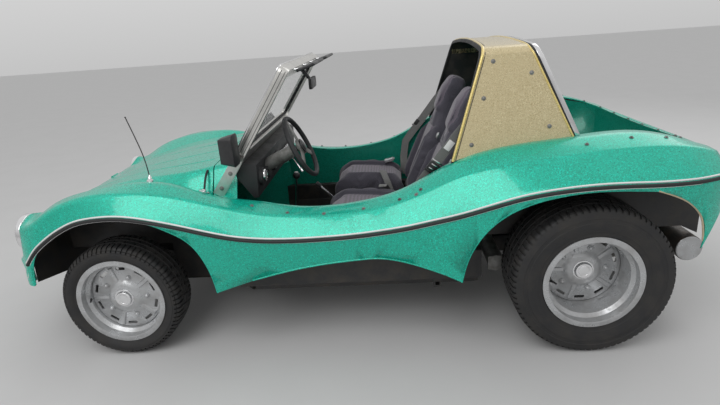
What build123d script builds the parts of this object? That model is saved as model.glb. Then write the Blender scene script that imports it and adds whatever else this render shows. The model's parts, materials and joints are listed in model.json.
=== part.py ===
from build123d import *
import os
from math import cos, radians, sin

# Frame: +X forward, +Y to the car's left, +Z up, origin on the ground under the middle of the car
# Driving dimensions in millimetres
wheelbase = 2100
front_axle_x = wheelbase / 2
rear_axle_x = -wheelbase / 2
length = 3280
wall = 7
gap = 5
seat_gap = 0.3

# Wheels and tyres
rim_flange_r = 208.5
bead_r = 190
front_tyre_r = 280
front_face_y = 700
front_rim_width = 160
front_tyre_width = 185
front_disc_depth = 62
rear_tyre_r = 335
rear_face_y = 800
rear_rim_width = 240
rear_tyre_width = 262
rear_disc_depth = 150
steer_axis_y = 530
disc_wall = 6
hub_bore_r = 34
rib_count = 5

# Body side, one row per station from the nose to the tail
# columns: x, shut line y z, crest y z, crease y z, trim y z, foot y
BODY = [
    (1470, 350, 628, 560, 690, 650, 655, 690, 430, 690),
    (1330, 400, 686, 590, 735, 690, 715, 715, 600, 710),
    (1150, 440, 740, 600, 795, 705, 790, 735, 695, 730),
    (950, 478, 784, 600, 822, 708, 806, 765, 719, 752),
    (760, 505, 776, 600, 812, 706, 786, 766, 684, 740),
    (590, 525, 718, 600, 754, 700, 744, 757, 632, 722),
    (430, 560, 704, 590, 712, 690, 694, 750, 589, 708),
    (200, 560, 663, 590, 668, 672, 655, 743, 568, 690),
    (-60, 560, 667, 590, 672, 668, 655, 747, 576, 695),
    (-290, 560, 723, 592, 728, 676, 702, 758, 606, 735),
    (-500, 560, 829, 612, 834, 702, 790, 782, 656, 775),
    (-740, 556, 889, 618, 894, 720, 848, 832, 740, 800),
    (-1000, 550, 911, 620, 916, 722, 876, 860, 777, 815),
    (-1250, 530, 917, 616, 922, 716, 888, 852, 772, 812),
    (-1430, 510, 879, 606, 884, 700, 872, 815, 768, 790),
    (-1540, 490, 841, 590, 846, 670, 842, 760, 766, 740),
]
body_foot_z = 250
centre_drop = 11
crest_r = 90
crease_r = 32
trim_r = 42

# Front lid and cowl, columns: x, centre z, edge y z, shut line y z
LID = [
    (1470, 642, 322, 648, 350, 628),
    (1330, 698, 362, 706, 400, 686),
    (1150, 756, 400, 757, 440, 740),
    (950, 800, 432, 797, 478, 782),
    (760, 834, 446, 815, 505, 773),
    (590, 860, 456, 842, 525, 716),
    (470, 868, 462, 856, 545, 700),
]
lid_foot_z = 590
lid_edge_r = 40
lid_overhang = 30
hole_margin = 6
lid_rear_x = 590
lid_front_x = 1462
cowl_rear_x = 478
cowl_lap = 12
hinge_x = 1466
hinge_z = 648
hinge_r = 8
hinge_y = 220
hinge_half = 25
ear_half = 4

# Nose below the lid, columns: x, top z, top edge y z, shoulder y z, side y z, foot y z
NOSE = [
    (1470, 632, 325, 634, 440, 506, 652, 486, 650, 398),
    (1540, 598, 318, 602, 430, 500, 606, 470, 596, 396),
    (1600, 548, 300, 548, 400, 492, 520, 458, 508, 400),
    (1640, 480, 260, 478, 335, 462, 380, 446, 370, 412),
]

# Tail behind the well, columns: x, top z, top edge y z, corner y z, side y z, foot y z
TAIL = [
    (-1540, 835, 490, 841, 590, 846, 700, 800, 740, 650),
    (-1585, 818, 480, 822, 570, 824, 668, 786, 700, 660),
    (-1622, 796, 470, 798, 548, 798, 628, 768, 650, 676),
]

# Lower edge of the side, as x z points
FRONT_ARCH = [(1424, 392), (1414, 480), (1372, 556), (1300, 614), (1200, 668), (1080, 700), (948, 706),
              (820, 688), (731, 643), (662, 596), (622, 536), (598, 470), (582, 400), (576, 322)]
SKIRT = [(406, 373), (242, 412), (80, 438), (-80, 456), (-160, 462), (-240, 452), (-350, 420), (-440, 386)]
REAR_ARCH = [(-512, 352), (-524, 420), (-556, 505), (-610, 592), (-690, 668), (-800, 722), (-940, 752),
             (-1078, 758), (-1236, 744), (-1330, 710), (-1405, 655), (-1455, 585), (-1466, 500), (-1462, 470)]

# Cockpit, rear well, floor and inner walls
rim_y = 566
well_y = 530
well_rear_x = -1500
deck_z = 660
floor_z = 225
floor_thickness = 6
flange_front_x = 460
head_rear_x = 760
floor_rear_x = -620
toe_x = 900
tunnel_half = 75
tunnel_z = 350
sill_y = 622
sill_inner_y = 530
sill_z = 290
sill_top_z = 430
sill_front_x = 500
arch_wall_y = 372
arch_wall_front_x = 1440
box_shelf_z = 590
apron_y = 655
apron_z = 345
panel = 6
# Inner wall of a rear arch under the well, as x z points
ARCH_WALL = [(-640, 658), (-640, 463), (-1520, 463), (-1596, 425), (-1596, 640), (-1500, 658)]

# Windscreen, hoop and seats
screen_half = 520
screen_base = (452, 874)
screen_top = (222, 1282)
post_width = 40
post_depth = 26
glass_thickness = 6
hoop_base_y = 606
hoop_top_y = 506
hoop_edge_z = 1288
hoop_top_z = 1313
hoop_front_base_x = -500
hoop_rear_base_x = -1000
hoop_front_top_x = -668
hoop_rear_top_x = -800
hoop_wall = 8
seat_y = 300
seat_width = 430
seat_front_x = 130
seat_back_x = -308
cushion_z = 440
cushion_height = 150
cushion_rear_z = 550

# Controls
steering_centre = (200, 300, 877)
steering_r = 172
column_tilt = 24.5

flange_wall = 5
well_r = 174
slot_pitch_r = 143
slot_count = 10
slot_depth = 14
slot_length = 44
rib_width = 26
rib_start_r = 72
rib_end_r = 158
rib_lift = 9
hub_lift = 20
shaft_gap = 0.05
drum_y = 562
rear_drum_y = 596
drum_depth = 40

# Running gear
beam_x = 1200
upper_tube_z = 345
lower_tube_z = 215
tube_r = 24
beam_half = 392
tower_y = 340
tower_width = 36
tower_front = 32
bumper_hole_r = 5.5
bumper_hole_z = (250, 310)
arm_y = 436
arm_half_height = 11
head_height = 90
rear_horn_x = -812
rear_horn_y = 175
rear_horn_length = 380
torsion_x = -712
torsion_z = 300
torsion_half = 500
gearbox_half = 130
gearbox_front_x = -860
engine_front_x = -1170
engine_length = 290
shroud_top_z = 636
shroud_depth = 150
can_x = -1545
can_z = 370
can_r = 60
can_left_y = 580
can_right_y = 110
pipe_r = 20
tailpipe_r = 22
jack_x = -420
jack_y = 600
jack_z = 250

# Cabin fittings
bracket_wall = 6
visor_y = 250
visor_width = 360
visor_depth = 170
visor_wall = 14
mirror_x = 150
mirror_z = 1150
door_mirror_x = 430
door_mirror_y = 610
door_mirror_z = 945
dash_x = 380
dash_bottom_z = 690
dash_half = 500
GAUGES = [300 - 130, 300, 300 + 130, 60]
gauge_r = 42
hoop_corner_r = 78
hoop_lift = -16
seal_depth = 16
seal_width = 14
rear_seal_width = 18
chrome_width = 20
lamp_y = 566
lamp_z = 600
lamp_r = 88
lamp_depth = 28
tail_lamp_y = 500
tail_lamp_z = 744
tail_lamp_width = 150
tail_lamp_height = 56
antenna_foot = (872, 556, 812)
antenna_tip = (942, 520, 1104)
headrest_half = 115
back_length = 760
shoulder_length = 390
neck_length = 530
back_depth = 120
back_lean = 22
back_foot_z = 446
column_shroud_r = 34
column_tube_r = 20
column_start = 46
column_shroud_length = 250
shaft_r = 11
column_cos = cos(radians(column_tilt))
column_sin = sin(radians(column_tilt))
column_end = (toe_x - seat_gap - steering_centre[0] - column_tube_r * column_sin) / column_cos

os.makedirs("parts", exist_ok=True)


def finish(part, label):
    part.label = label
    export_step(part, f"parts/{label}.step")


def across(x):
    """The plane across the car at x, drawn in y and z."""
    return Plane(origin=(x, 0, 0), x_dir=(0, 1, 0), z_dir=(1, 0, 0))


def along(y):
    """The plane along the car at y, drawn in x and z."""
    return Plane(origin=(0, y, 0), x_dir=(1, 0, 0), z_dir=(0, -1, 0))


def mirrored(half):
    """A closed outline from the points of its half with y above 0."""
    return half + [(-y, z) for y, z in reversed(half) if y > 0]


def section(x, half, radii=()):
    """A closed section whose corners, from the middle outwards, are rounded by the radii that aren't 0."""
    with BuildSketch() as sketch:
        with BuildLine():
            Polyline(*mirrored(half), close=True)
        make_face()
        for (y, z), r in zip(half, radii):
            if r:
                fillet([v for v in sketch.vertices() if abs(abs(v.X) - y) < 0.01 and abs(v.Y - z) < 0.01], r)
    return across(x) * sketch.sketch


def body_section(row, inset=0):
    x, ys, zs, yc, zc, yk, zk, ym, zm, yf = row
    foot = body_foot_z - 60 if inset else body_foot_z
    half = [(0, zs - centre_drop - inset), (ys, zs - inset), (yc, zc - inset)]
    half += [(yk - 0.7 * inset, zk - 0.7 * inset), (ym - inset, zm), (yf - inset, foot)]
    return section(x, half, (0, 0, crest_r - inset, crease_r - inset, trim_r - inset, 0))


def slope_on(y1, z1, y2, z2, y):
    """Height at y on the line through two points."""
    return z1 + (z2 - z1) * (y - y1) / (y2 - y1)


def lid_section(row, inset=0):
    x, zc, ye, ze, ys, zs = row
    side_y = ys + lid_overhang + 2 * inset
    half = [(0, zc - inset), (ye - 0.5 * inset, ze - inset)]
    half += [(side_y, slope_on(ye, ze, ys, zs, side_y) - 1.6 * inset), (side_y, lid_foot_z - 100 - inset)]
    return section(x, half, (0, lid_edge_r - inset, 0, 0))


def cowl_section(row, inset=0):
    x, zc, ye, ze, ys, zs = row
    side_y = ys - cowl_lap if inset else ys + cowl_lap
    half = [(0, zc - inset), (ye - 0.5 * inset, ze - inset)]
    half += [(side_y, slope_on(ye, ze, ys, zs, side_y) - 1.6 * inset), (side_y, lid_foot_z + 40 - inset)]
    return section(x, half, (0, lid_edge_r - inset, 0, 0))


def cap_section(row, inset=0):
    x, zt, y1, z1, y2, z2, y3, z3, y4, z4 = row
    half = [(0, zt - inset), (y1, z1 - inset), (y2 - 0.7 * inset, z2 - 0.7 * inset)]
    half += [(y3 - inset, z3 - 0.5 * inset), (y4 - inset, z4 - (40 if inset else 0))]
    return section(x, half)


def moved(row, dx):
    return (row[0] + dx,) + row[1:]


def back_plane(side):
    """The front face of a seat back, drawn across and up its length."""
    lean = radians(back_lean)
    return Plane(origin=(seat_back_x, side * seat_y, back_foot_z), x_dir=(0, 1, 0),
                 z_dir=(cos(lean), 0, sin(lean)))


def back_face_x(z):
    """Where a cushion meets the seat back's front face at height z."""
    lean = radians(back_lean)
    return seat_back_x - (z - back_foot_z) * sin(lean) / cos(lean) + seat_gap / cos(lean)


def cut_curves(curves, plane, depth):
    """A block across the plane, bounded by smooth curves through the lists of points, joined by lines."""
    with BuildPart() as block:
        with BuildSketch(plane):
            with BuildLine():
                for points, following in zip(curves, curves[1:] + curves[:1]):
                    if len(points) > 4:
                        Spline(*points)
                    else:
                        Polyline(*points)
                    Line(points[-1], following[0])
            make_face()
        extrude(amount=depth, both=True)
    return block.part


def cut_outline(points, plane, depth):
    """A block across the plane whose outline is the list of points."""
    with BuildPart() as block:
        with BuildSketch(plane):
            with BuildLine():
                Polyline(*points, close=True)
            make_face()
        extrude(amount=depth, both=True)
    return block.part


def plan_plate(plan, low, high):
    with BuildPart() as plate:
        with BuildSketch(Plane.XY.offset(low)):
            with BuildLine():
                Polyline(*(plan + [(x, -y) for x, y in reversed(plan)]), close=True)
            make_face()
        extrude(amount=high - low)
    return plate.part


def lifted(part, x=0, z=0):
    """A copy moved by the small gap that a seated piece keeps."""
    return part.moved(Location((x, 0, z)))


# Whole forms of the moulding, from which the pieces are cut
with BuildPart() as body_form:
    loft([body_section(row) for row in BODY])

inner_rows = [moved(BODY[0], -wall)] + BODY[1:-1] + [moved(BODY[-1], wall)]
with BuildPart() as body_core:
    loft([body_section(row, wall) for row in inner_rows])

with BuildPart() as lid_form:
    loft([lid_section(row) for row in LID])

lid_core_rows = [moved(LID[0], wall)] + LID[1:-1] + [moved(LID[-1], -wall)]
with BuildPart() as lid_core:
    loft([lid_section(row, wall) for row in lid_core_rows])

cowl_rows = [moved(LID[-2], 20), LID[-2], LID[-1]]
with BuildPart() as cowl_form:
    loft([cowl_section(row) for row in cowl_rows[1:]], ruled=True)

cowl_core_rows = [moved(LID[-2], 20), moved(LID[-1], -20)]
with BuildPart() as cowl_core:
    loft([cowl_section(row, wall) for row in cowl_core_rows], ruled=True)

with BuildPart() as nose_form:
    loft([cap_section(row) for row in NOSE])

nose_core_rows = [moved(NOSE[0], -2 * wall)] + NOSE[1:-1] + [moved(NOSE[-1], -wall)]
with BuildPart() as nose_core:
    loft([cap_section(row, wall) for row in nose_core_rows])

with BuildPart() as tail_form:
    loft([cap_section(row) for row in TAIL])

tail_core_rows = [moved(TAIL[0], 2 * wall)] + TAIL[1:-1] + [moved(TAIL[-1], wall)]
with BuildPart() as tail_core:
    loft([cap_section(row, wall) for row in tail_core_rows])

# Cutters: everything under the lower edge, the lid opening and the cockpit and well opening
below = [[(-1548, 640), (-1700, 640), (-1700, 60)], [(1700, 60), (1700, 386), (1428, 386)]]
below += [FRONT_ARCH, SKIRT, REAR_ARCH]
under_cut = cut_curves(below, along(0), 1000)

shut_line = [(x, ys, zs) for x, zc, ye, ze, ys, zs in LID]


def lid_outline(inset):
    """The lid opening's plan outline, drawn in by inset."""
    side = [(x, y + hole_margin - inset) for x, y, z in shut_line[1:-2]]
    ends = [(lid_front_x - inset, shut_line[0][1] + hole_margin - inset)]
    return ends + side + [(lid_rear_x + inset, shut_line[-2][1] + hole_margin - inset)]


lid_hole = plan_plate(lid_outline(0), 600, 1020)
lid_room = plan_plate(lid_outline(gap), 600, 1020)
rim_plan = [(cowl_rear_x, rim_y - 14), (430, rim_y), (-600, rim_y), (-1000, rim_y - 10)]
rim_plan += [(well_rear_x + 60, well_y), (well_rear_x, well_y - 60)]
rim_hole = cut_outline(rim_plan + [(x, -y) for x, y in reversed(rim_plan)], Plane.XY.offset(760), 250)

# One-piece outer moulding: fenders, sides, cowl, nose and tail
with BuildPart() as body_tub:
    add(body_form.part)
    add(cowl_form.part)
    add(nose_form.part)
    add(tail_form.part)
    for core in (body_core, cowl_core, nose_core, tail_core):
        add(core.part, mode=Mode.SUBTRACT)
    for cutter in (lid_hole, rim_hole, under_cut):
        add(cutter, mode=Mode.SUBTRACT)
    for side in (1, -1):
        for ear_y in (hinge_y - hinge_half - seat_gap - ear_half, hinge_y + hinge_half + seat_gap + ear_half):
            with BuildSketch(along(side * ear_y)):
                with Locations((hinge_x, hinge_z)):
                    Circle(hinge_r)
                with BuildLine():
                    Polyline((hinge_x - hinge_r, hinge_z), (hinge_x + hinge_r, hinge_z), (hinge_x + 24, hinge_z - 24),
                             (hinge_x + 2, hinge_z - 24), close=True)
                make_face()
            extrude(amount=ear_half, both=True)
finish(body_tub.part, "body_tub")

with BuildPart() as front_lid:
    add(lid_form.part)
    add(lid_core.part, mode=Mode.SUBTRACT)
    add(lid_room, mode=Mode.INTERSECT)
    for side in (1, -1):
        with BuildSketch(along(side * hinge_y)):
            with Locations((hinge_x, hinge_z)):
                Circle(hinge_r)
            with Locations((hinge_x - 14, hinge_z - 2)):
                Rectangle(28, 7)
        extrude(amount=hinge_half, both=True)
finish(front_lid.part, "front_lid")

# Inner walls of the cockpit, footwell, front box and rear well
box_plan = [(440, rim_y - 12), (590, 519), (950, 470), (1330, 390), (arch_wall_front_x, 346)]
rim_line = [(cowl_rear_x, 700)] + [(row[0], row[4]) for row in BODY if row[0] < cowl_rear_x]


def wall_ring(plan, low, high):
    """Walls a panel thick that stand inside a plan outline."""
    outer = plan + [(x, -y) for x, y in reversed(plan)]
    inner_half = [(x + (panel if n == 0 else 0) - (panel if n == len(plan) - 1 else 0), y - panel)
                  for n, (x, y) in enumerate(plan)]
    with BuildPart() as ring:
        with BuildSketch(Plane.XY.offset(low)):
            with BuildLine():
                Polyline(*outer, close=True)
            make_face()
            with BuildLine():
                Polyline(*(inner_half + [(x, -y) for x, y in reversed(inner_half)]), close=True)
            make_face(mode=Mode.SUBTRACT)
        extrude(amount=high - low)
    return ring.part


well_plan = [(well_rear_x + 1, well_y - 62), (well_rear_x + 59, well_y - seat_gap), (floor_rear_x, rim_y - 2)]
over_rim = [(x, z - 14) for x, z in rim_line] + [(-1700, 800), (-1700, 1200), (cowl_rear_x, 1200)]
over_box = [(x, z - 18) for x, y, z in shut_line] + [(cowl_rear_x - 80, 690), (400, 1200), (1500, 1200)]
box_top = sill_top_z + seat_gap
floor_top = floor_z + floor_thickness + seat_gap
head_top = floor_z + head_height + seat_gap
footwell_plan = [(440, rim_y - seat_gap), (610, arch_wall_y), (toe_x + panel, arch_wall_y)]
with BuildPart() as inner_tub:
    add(wall_ring([(floor_rear_x, rim_y - seat_gap), (440, rim_y - seat_gap), (610, arch_wall_y),
                   (arch_wall_front_x, arch_wall_y)], box_top, 900))
    add(cut_outline([(440, box_shelf_z), (1600, box_shelf_z), (1600, 1000), (440, 1000)], along(0), 900),
        mode=Mode.SUBTRACT)
    add(plan_plate(box_plan, box_shelf_z - panel, box_shelf_z)
        - plan_plate([(440, rim_y - 13), (609, arch_wall_y - panel), (arch_wall_front_x - panel, arch_wall_y - panel)],
                     box_shelf_z - 50, box_shelf_z + 50))
    add(wall_ring(box_plan, box_shelf_z - panel, 900)
        - cut_outline([(446, 500), (446, 1000), (300, 1000), (300, 500)], along(0), 900))
    add(plan_plate([(toe_x, arch_wall_y - 1), (arch_wall_front_x - 1, arch_wall_y - 1)], box_top, box_top + panel))
    add(cut_outline([(toe_x, box_top), (toe_x + panel, box_top), (toe_x + panel, 760), (toe_x, 760)],
                    along(0), arch_wall_y - 1))
    add(wall_ring(well_plan, deck_z - panel, 1000)
        - cut_outline([(floor_rear_x - panel - 4, 400), (floor_rear_x - panel - 4, 1100), (0, 1100), (0, 400)],
                      along(0), 900))
    add(plan_plate(well_plan, deck_z - panel, deck_z))
    add(cut_outline(over_rim, along(0), 1000), mode=Mode.SUBTRACT)
    add(cut_outline(over_box, along(0), 1000), mode=Mode.SUBTRACT)
    # Closing panels: the apron ahead of the front wheels, the footwell's sides and the rear arches' inner walls
    apron = [(0, box_shelf_z), (apron_y, box_shelf_z), (apron_y + 16, apron_z + 43), (470, apron_z), (0, apron_z)]
    add(cut_outline(mirrored(apron), across(arch_wall_front_x - panel / 2), panel / 2))
    add(wall_ring(footwell_plan, floor_top, box_top + panel)
        - cut_outline([(472, 0), (472, 1000), (0, 1000), (0, 0)], along(0), 900)
        - cut_outline([(toe_x - 1, 0), (toe_x + 9, 0), (toe_x + 9, head_top), (toe_x - 1, head_top)],
                      along(0), 224))
    for side in (1, -1):
        add(cut_outline(ARCH_WALL, along(side * (well_y - seat_gap - panel / 2)), panel / 2))
finish(inner_tub.part, "inner_tub")

# Floor pan with its tunnel, frame head and rear horns
head_front_x = beam_x - tube_r - seat_gap
with BuildPart() as floorpan:
    floor_half = sill_inner_y - seat_gap
    add(plan_plate([(floor_rear_x, floor_half), (472, floor_half), (610, arch_wall_y + 2),
                    (toe_x + panel, arch_wall_y + 2)], floor_z, floor_z + floor_thickness))
    with BuildSketch(across(floor_rear_x)):
        with Locations((0, (floor_z + tunnel_z) / 2)):
            Rectangle(2 * tunnel_half, tunnel_z - floor_z)
    extrude(amount=toe_x - panel - floor_rear_x)
    with BuildSketch(Plane.XY.offset(floor_z)):
        with BuildLine():
            Polyline((head_rear_x, -260), (head_rear_x, 260), (head_front_x, 150), (head_front_x, -150),
                     close=True)
        make_face()
    extrude(amount=head_height)
    with Locations((rear_horn_x, rear_horn_y, floor_z + head_height / 2),
                   (rear_horn_x, -rear_horn_y, floor_z + head_height / 2)):
        Box(rear_horn_length, 60, head_height)
    with Locations((floor_rear_x, 0, floor_z + head_height / 2)):
        Box(90, 2 * rear_horn_y + 60, head_height)
    for side in (1, -1):
        with Locations(((floor_rear_x + flange_front_x) / 2, side * (floor_half - 3), (floor_z + sill_z) / 2 + 20)):
            Box(flange_front_x - floor_rear_x, 6, sill_z - floor_z + 40)
finish(floorpan.part, "floorpan")

# Heater channels along the floor's edges, each with its jacking tube
with BuildPart() as side_sills:
    for side in (1, -1):
        with BuildSketch(across(floor_rear_x)):
            with Locations((side * (sill_y + sill_inner_y) / 2, (sill_z + sill_top_z) / 2)):
                RectangleRounded(sill_y - sill_inner_y, sill_top_z - sill_z, 8)
        extrude(amount=sill_front_x - floor_rear_x)
        with BuildSketch(along(side * jack_y)):
            with Locations((jack_x, (sill_z + jack_z) / 2 + 4)):
                Rectangle(34, sill_z - jack_z + 8)
        extrude(amount=17, both=True)
        with BuildSketch(along(side * jack_y)):
            with Locations((jack_x, jack_z + 18)):
                Rectangle(20, 20)
        extrude(amount=18, both=True, mode=Mode.SUBTRACT)
finish(side_sills.part, "side_sills")

# Front beam: two tubes, end towers and bent arms out to the ball joints
with BuildPart() as front_beam:
    for z in (upper_tube_z, lower_tube_z):
        with BuildSketch(along(0)):
            with Locations((beam_x, z)):
                Circle(tube_r)
        extrude(amount=beam_half, both=True)
    for side in (1, -1):
        with BuildSketch(along(side * tower_y)):
            with BuildLine():
                Polyline((beam_x - 40, lower_tube_z - 34), (beam_x + tower_front, lower_tube_z - 34),
                         (beam_x + tower_front, box_top - seat_gap), (beam_x - 24, box_top - seat_gap), close=True)
            make_face()
        extrude(amount=tower_width / 2, both=True)
        with BuildSketch(across(beam_x - 60)):
            with Locations(*[(side * tower_y, z) for z in bumper_hole_z]):
                Circle(bumper_hole_r)
        extrude(amount=120, mode=Mode.SUBTRACT)
        for z in (upper_tube_z, lower_tube_z):
            with BuildSketch(Plane.XY.offset(z)):
                with BuildLine():
                    Polyline((beam_x + tube_r, side * (beam_half - 2)), (beam_x + tube_r, side * arm_y),
                             (front_axle_x + 16, side * arm_y), (front_axle_x + 16, side * steer_axis_y),
                             (front_axle_x - 16, side * steer_axis_y), (front_axle_x - 16, side * (arm_y - 34)),
                             (beam_x - 36, side * (arm_y - 34)), (beam_x - 36, side * (beam_half - 2)), close=True)
                make_face()
                with Locations((front_axle_x, side * steer_axis_y)):
                    Circle(16)
            extrude(amount=arm_half_height, both=True)
finish(front_beam.part, "front_beam")

# Steering knuckles: upright, hub and brake drum
for label, side in (("knuckle_left", 1), ("knuckle_right", -1)):
    with BuildPart() as knuckle:
        with BuildSketch(Plane.XY.offset(lower_tube_z + arm_half_height + seat_gap)):
            with Locations((front_axle_x, side * steer_axis_y)):
                Circle(15)
        extrude(amount=upper_tube_z - lower_tube_z - 2 * arm_half_height - 2 * seat_gap)
        for r, y_from, y_to in ((22, steer_axis_y, drum_y), (115, drum_y, drum_y + drum_depth),
                                (hub_bore_r - shaft_gap, drum_y, front_face_y - front_disc_depth + hub_lift + 6)):
            with BuildSketch(along(side * y_from)):
                with Locations((front_axle_x, front_tyre_r)):
                    Circle(r)
            extrude(amount=-side * (y_to - y_from))
    finish(knuckle.part, label)


def rim(centre_x, centre_z, face_y, width, depth):
    """A left-hand steel rim whose outer flange stands at face_y."""
    inner_y = face_y - width
    disc_y = face_y - depth
    barrel = [
        (face_y, rim_flange_r), (face_y - flange_wall, rim_flange_r), (face_y - flange_wall, bead_r),
        (face_y - 34, bead_r), (face_y - 46, well_r), (inner_y + 40, well_r), (inner_y + 30, bead_r),
        (inner_y + flange_wall, bead_r), (inner_y + flange_wall, rim_flange_r), (inner_y, rim_flange_r),
        (inner_y, bead_r - flange_wall), (inner_y + 28, bead_r - flange_wall), (inner_y + 38, well_r - flange_wall),
        (face_y - 48, well_r - flange_wall), (face_y - 36, bead_r - flange_wall), (face_y, bead_r - flange_wall),
    ]
    disc = [
        (disc_y - 16, well_r - 2), (disc_y, well_r - 8), (disc_y + 3, 150), (disc_y + 6, 90), (disc_y + 16, 76),
        (disc_y + hub_lift + 4, 62), (disc_y + hub_lift + 4, 46), (disc_y + hub_lift, hub_bore_r),
        (disc_y + hub_lift - disc_wall, hub_bore_r), (disc_y + hub_lift - disc_wall, 58), (disc_y + 9, 72),
        (disc_y, 88), (disc_y - 4, 150), (disc_y - 7, well_r - 12), (disc_y - 24, well_r - 2),
    ]
    axis = Axis((centre_x, 0, centre_z), (0, 1, 0))
    axis_plane = Plane(origin=(centre_x, 0, centre_z), x_dir=(0, 1, 0), z_dir=(1, 0, 0))
    with BuildPart() as wheel:
        for outline in (barrel, disc):
            with BuildSketch(axis_plane):
                with BuildLine():
                    Polyline(*outline, close=True)
                make_face()
            revolve(axis=axis)
        face = Plane(origin=(centre_x, disc_y + 20, centre_z), x_dir=(1, 0, 0), z_dir=(0, 1, 0))
        with BuildSketch(face):
            with PolarLocations(slot_pitch_r, slot_count, start_angle=180 / slot_count, rotate=True):
                RectangleRounded(slot_depth, slot_length, 4)
        extrude(amount=-60, mode=Mode.SUBTRACT)
        with BuildSketch(face.offset(-20)):
            with PolarLocations((rib_start_r + rib_end_r) / 2, rib_count, rotate=True):
                Rectangle(rib_end_r - rib_start_r, rib_width)
        extrude(amount=rib_lift + 3, taper=25)
    return wheel.part


def tyre(centre_x, outer_r, face_y, rim_width, width):
    """A left-hand tyre seated on its rim."""
    mid_y = face_y - rim_width / 2
    bead = rim_width / 2 - flange_wall - seat_gap
    half = width / 2
    axis_plane = Plane(origin=(centre_x, mid_y, outer_r), x_dir=(0, 1, 0), z_dir=(1, 0, 0))
    inside_r = bead_r + seat_gap
    sidewall_r = (rim_flange_r + outer_r) / 2
    with BuildPart() as ring:
        with BuildSketch(axis_plane):
            right = [(bead, inside_r), (bead, rim_flange_r + 1), (half, sidewall_r), (half - 9, outer_r - 16),
                     (half - 30, outer_r)]
            with BuildLine():
                Polyline(*(right + [(-y, z) for y, z in reversed(right)]), close=True)
            make_face()
        revolve(axis=Axis((centre_x, mid_y, outer_r), (0, 1, 0)))
    return ring.part


WHEELS = [
    ("front", front_axle_x, front_tyre_r, front_face_y, front_rim_width, front_disc_depth, front_tyre_width),
    ("rear", rear_axle_x, rear_tyre_r, rear_face_y, rear_rim_width, rear_disc_depth, rear_tyre_width),
]
for end, x, r, face_y, rim_width, depth, width in WHEELS:
    left_rim = rim(x, r, face_y, rim_width, depth)
    left_tyre = tyre(x, r, face_y, rim_width, width)
    finish(left_rim, f"{end}_rim_left")
    finish(left_tyre, f"{end}_tyre_left")
    finish(mirror(left_rim, about=Plane.XZ), f"{end}_rim_right")
    finish(mirror(left_tyre, about=Plane.XZ), f"{end}_tyre_right")

# Rear axle: torsion tube, spring plates, axle tubes, drums and hubs
with BuildPart() as rear_axle:
    for side in (1, -1):
        for r, x, z, y_from, y_to in (
            (38, rear_axle_x, rear_tyre_r, gearbox_half + seat_gap, rear_drum_y),
            (120, rear_axle_x, rear_tyre_r, rear_drum_y, rear_drum_y + drum_depth),
            (hub_bore_r - shaft_gap, rear_axle_x, rear_tyre_r, rear_drum_y, rear_face_y - rear_disc_depth + hub_lift + 6),
            (40, torsion_x, torsion_z, rear_horn_y + 30 + seat_gap, torsion_half),
        ):
            with BuildSketch(along(side * y_from)):
                with Locations((x, z)):
                    Circle(r)
            extrude(amount=-side * (y_to - y_from))
        with BuildSketch(along(side * (torsion_half - 6))):
            with BuildLine():
                Polyline((torsion_x + 40, torsion_z - 34), (torsion_x + 40, torsion_z + 34),
                         (rear_axle_x - 50, rear_tyre_r + 26), (rear_axle_x - 50, rear_tyre_r - 26), close=True)
            make_face()
        extrude(amount=4, both=True)
finish(rear_axle.part, "rear_axle")

# Gearbox ahead of the axle and the engine behind it
with BuildPart() as gearbox:
    with BuildSketch(across(gearbox_front_x)):
        with Locations((0, rear_tyre_r)):
            RectangleRounded(150, 130, 30)
    for x in (rear_axle_x + 45, rear_axle_x - 45):
        with BuildSketch(across(x)):
            with Locations((0, rear_tyre_r)):
                RectangleRounded(2 * gearbox_half, 230, 60)
    with BuildSketch(across(engine_front_x + seat_gap)):
        with Locations((0, rear_tyre_r)):
            RectangleRounded(360, 330, 120)
    loft(ruled=True)
finish(gearbox.part, "gearbox")

with BuildPart() as engine:
    with BuildSketch(across(engine_front_x)):
        with Locations((0, rear_tyre_r - 20)):
            RectangleRounded(300, 290, 40)
    extrude(amount=-engine_length)
    for side in (1, -1):
        with Locations((engine_front_x - engine_length / 2, side * 265, rear_tyre_r - 10)):
            Box(engine_length - 60, 250, 150)
    with BuildSketch(across(engine_front_x - 60)):
        with BuildLine():
            Polyline((-170, rear_tyre_r + 40), (-210, rear_tyre_r + 150), (-150, shroud_top_z), (150, shroud_top_z),
                     (210, rear_tyre_r + 150), (170, rear_tyre_r + 40), close=True)
        make_face()
    extrude(amount=-shroud_depth)
    with BuildSketch(across(engine_front_x - engine_length)):
        with Locations((0, rear_tyre_r + 20)):
            Circle(86)
    extrude(amount=-24)
finish(engine.part, "engine")

# Exhaust: a cross can with end caps and two pipes from the engine
with BuildPart() as exhaust:
    with BuildSketch(along(can_left_y)):
        with Locations((can_x, can_z)):
            Circle(can_r)
    extrude(amount=can_left_y - can_right_y)
    fillet(exhaust.edges().filter_by(GeomType.CIRCLE), 10)
    head_rear_x = engine_front_x - engine_length + 30
    for y in (can_left_y - 250, can_right_y + 66):
        with BuildSketch(across(head_rear_x - seat_gap)):
            with Locations((y, can_z - 8)):
                Circle(pipe_r)
        extrude(amount=can_x - head_rear_x + seat_gap)
    with BuildSketch(across(can_x)):
        with Locations((can_right_y + 40, can_z - 12)):
            Circle(tailpipe_r)
    extrude(amount=-90)
finish(exhaust.part, "exhaust")

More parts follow.
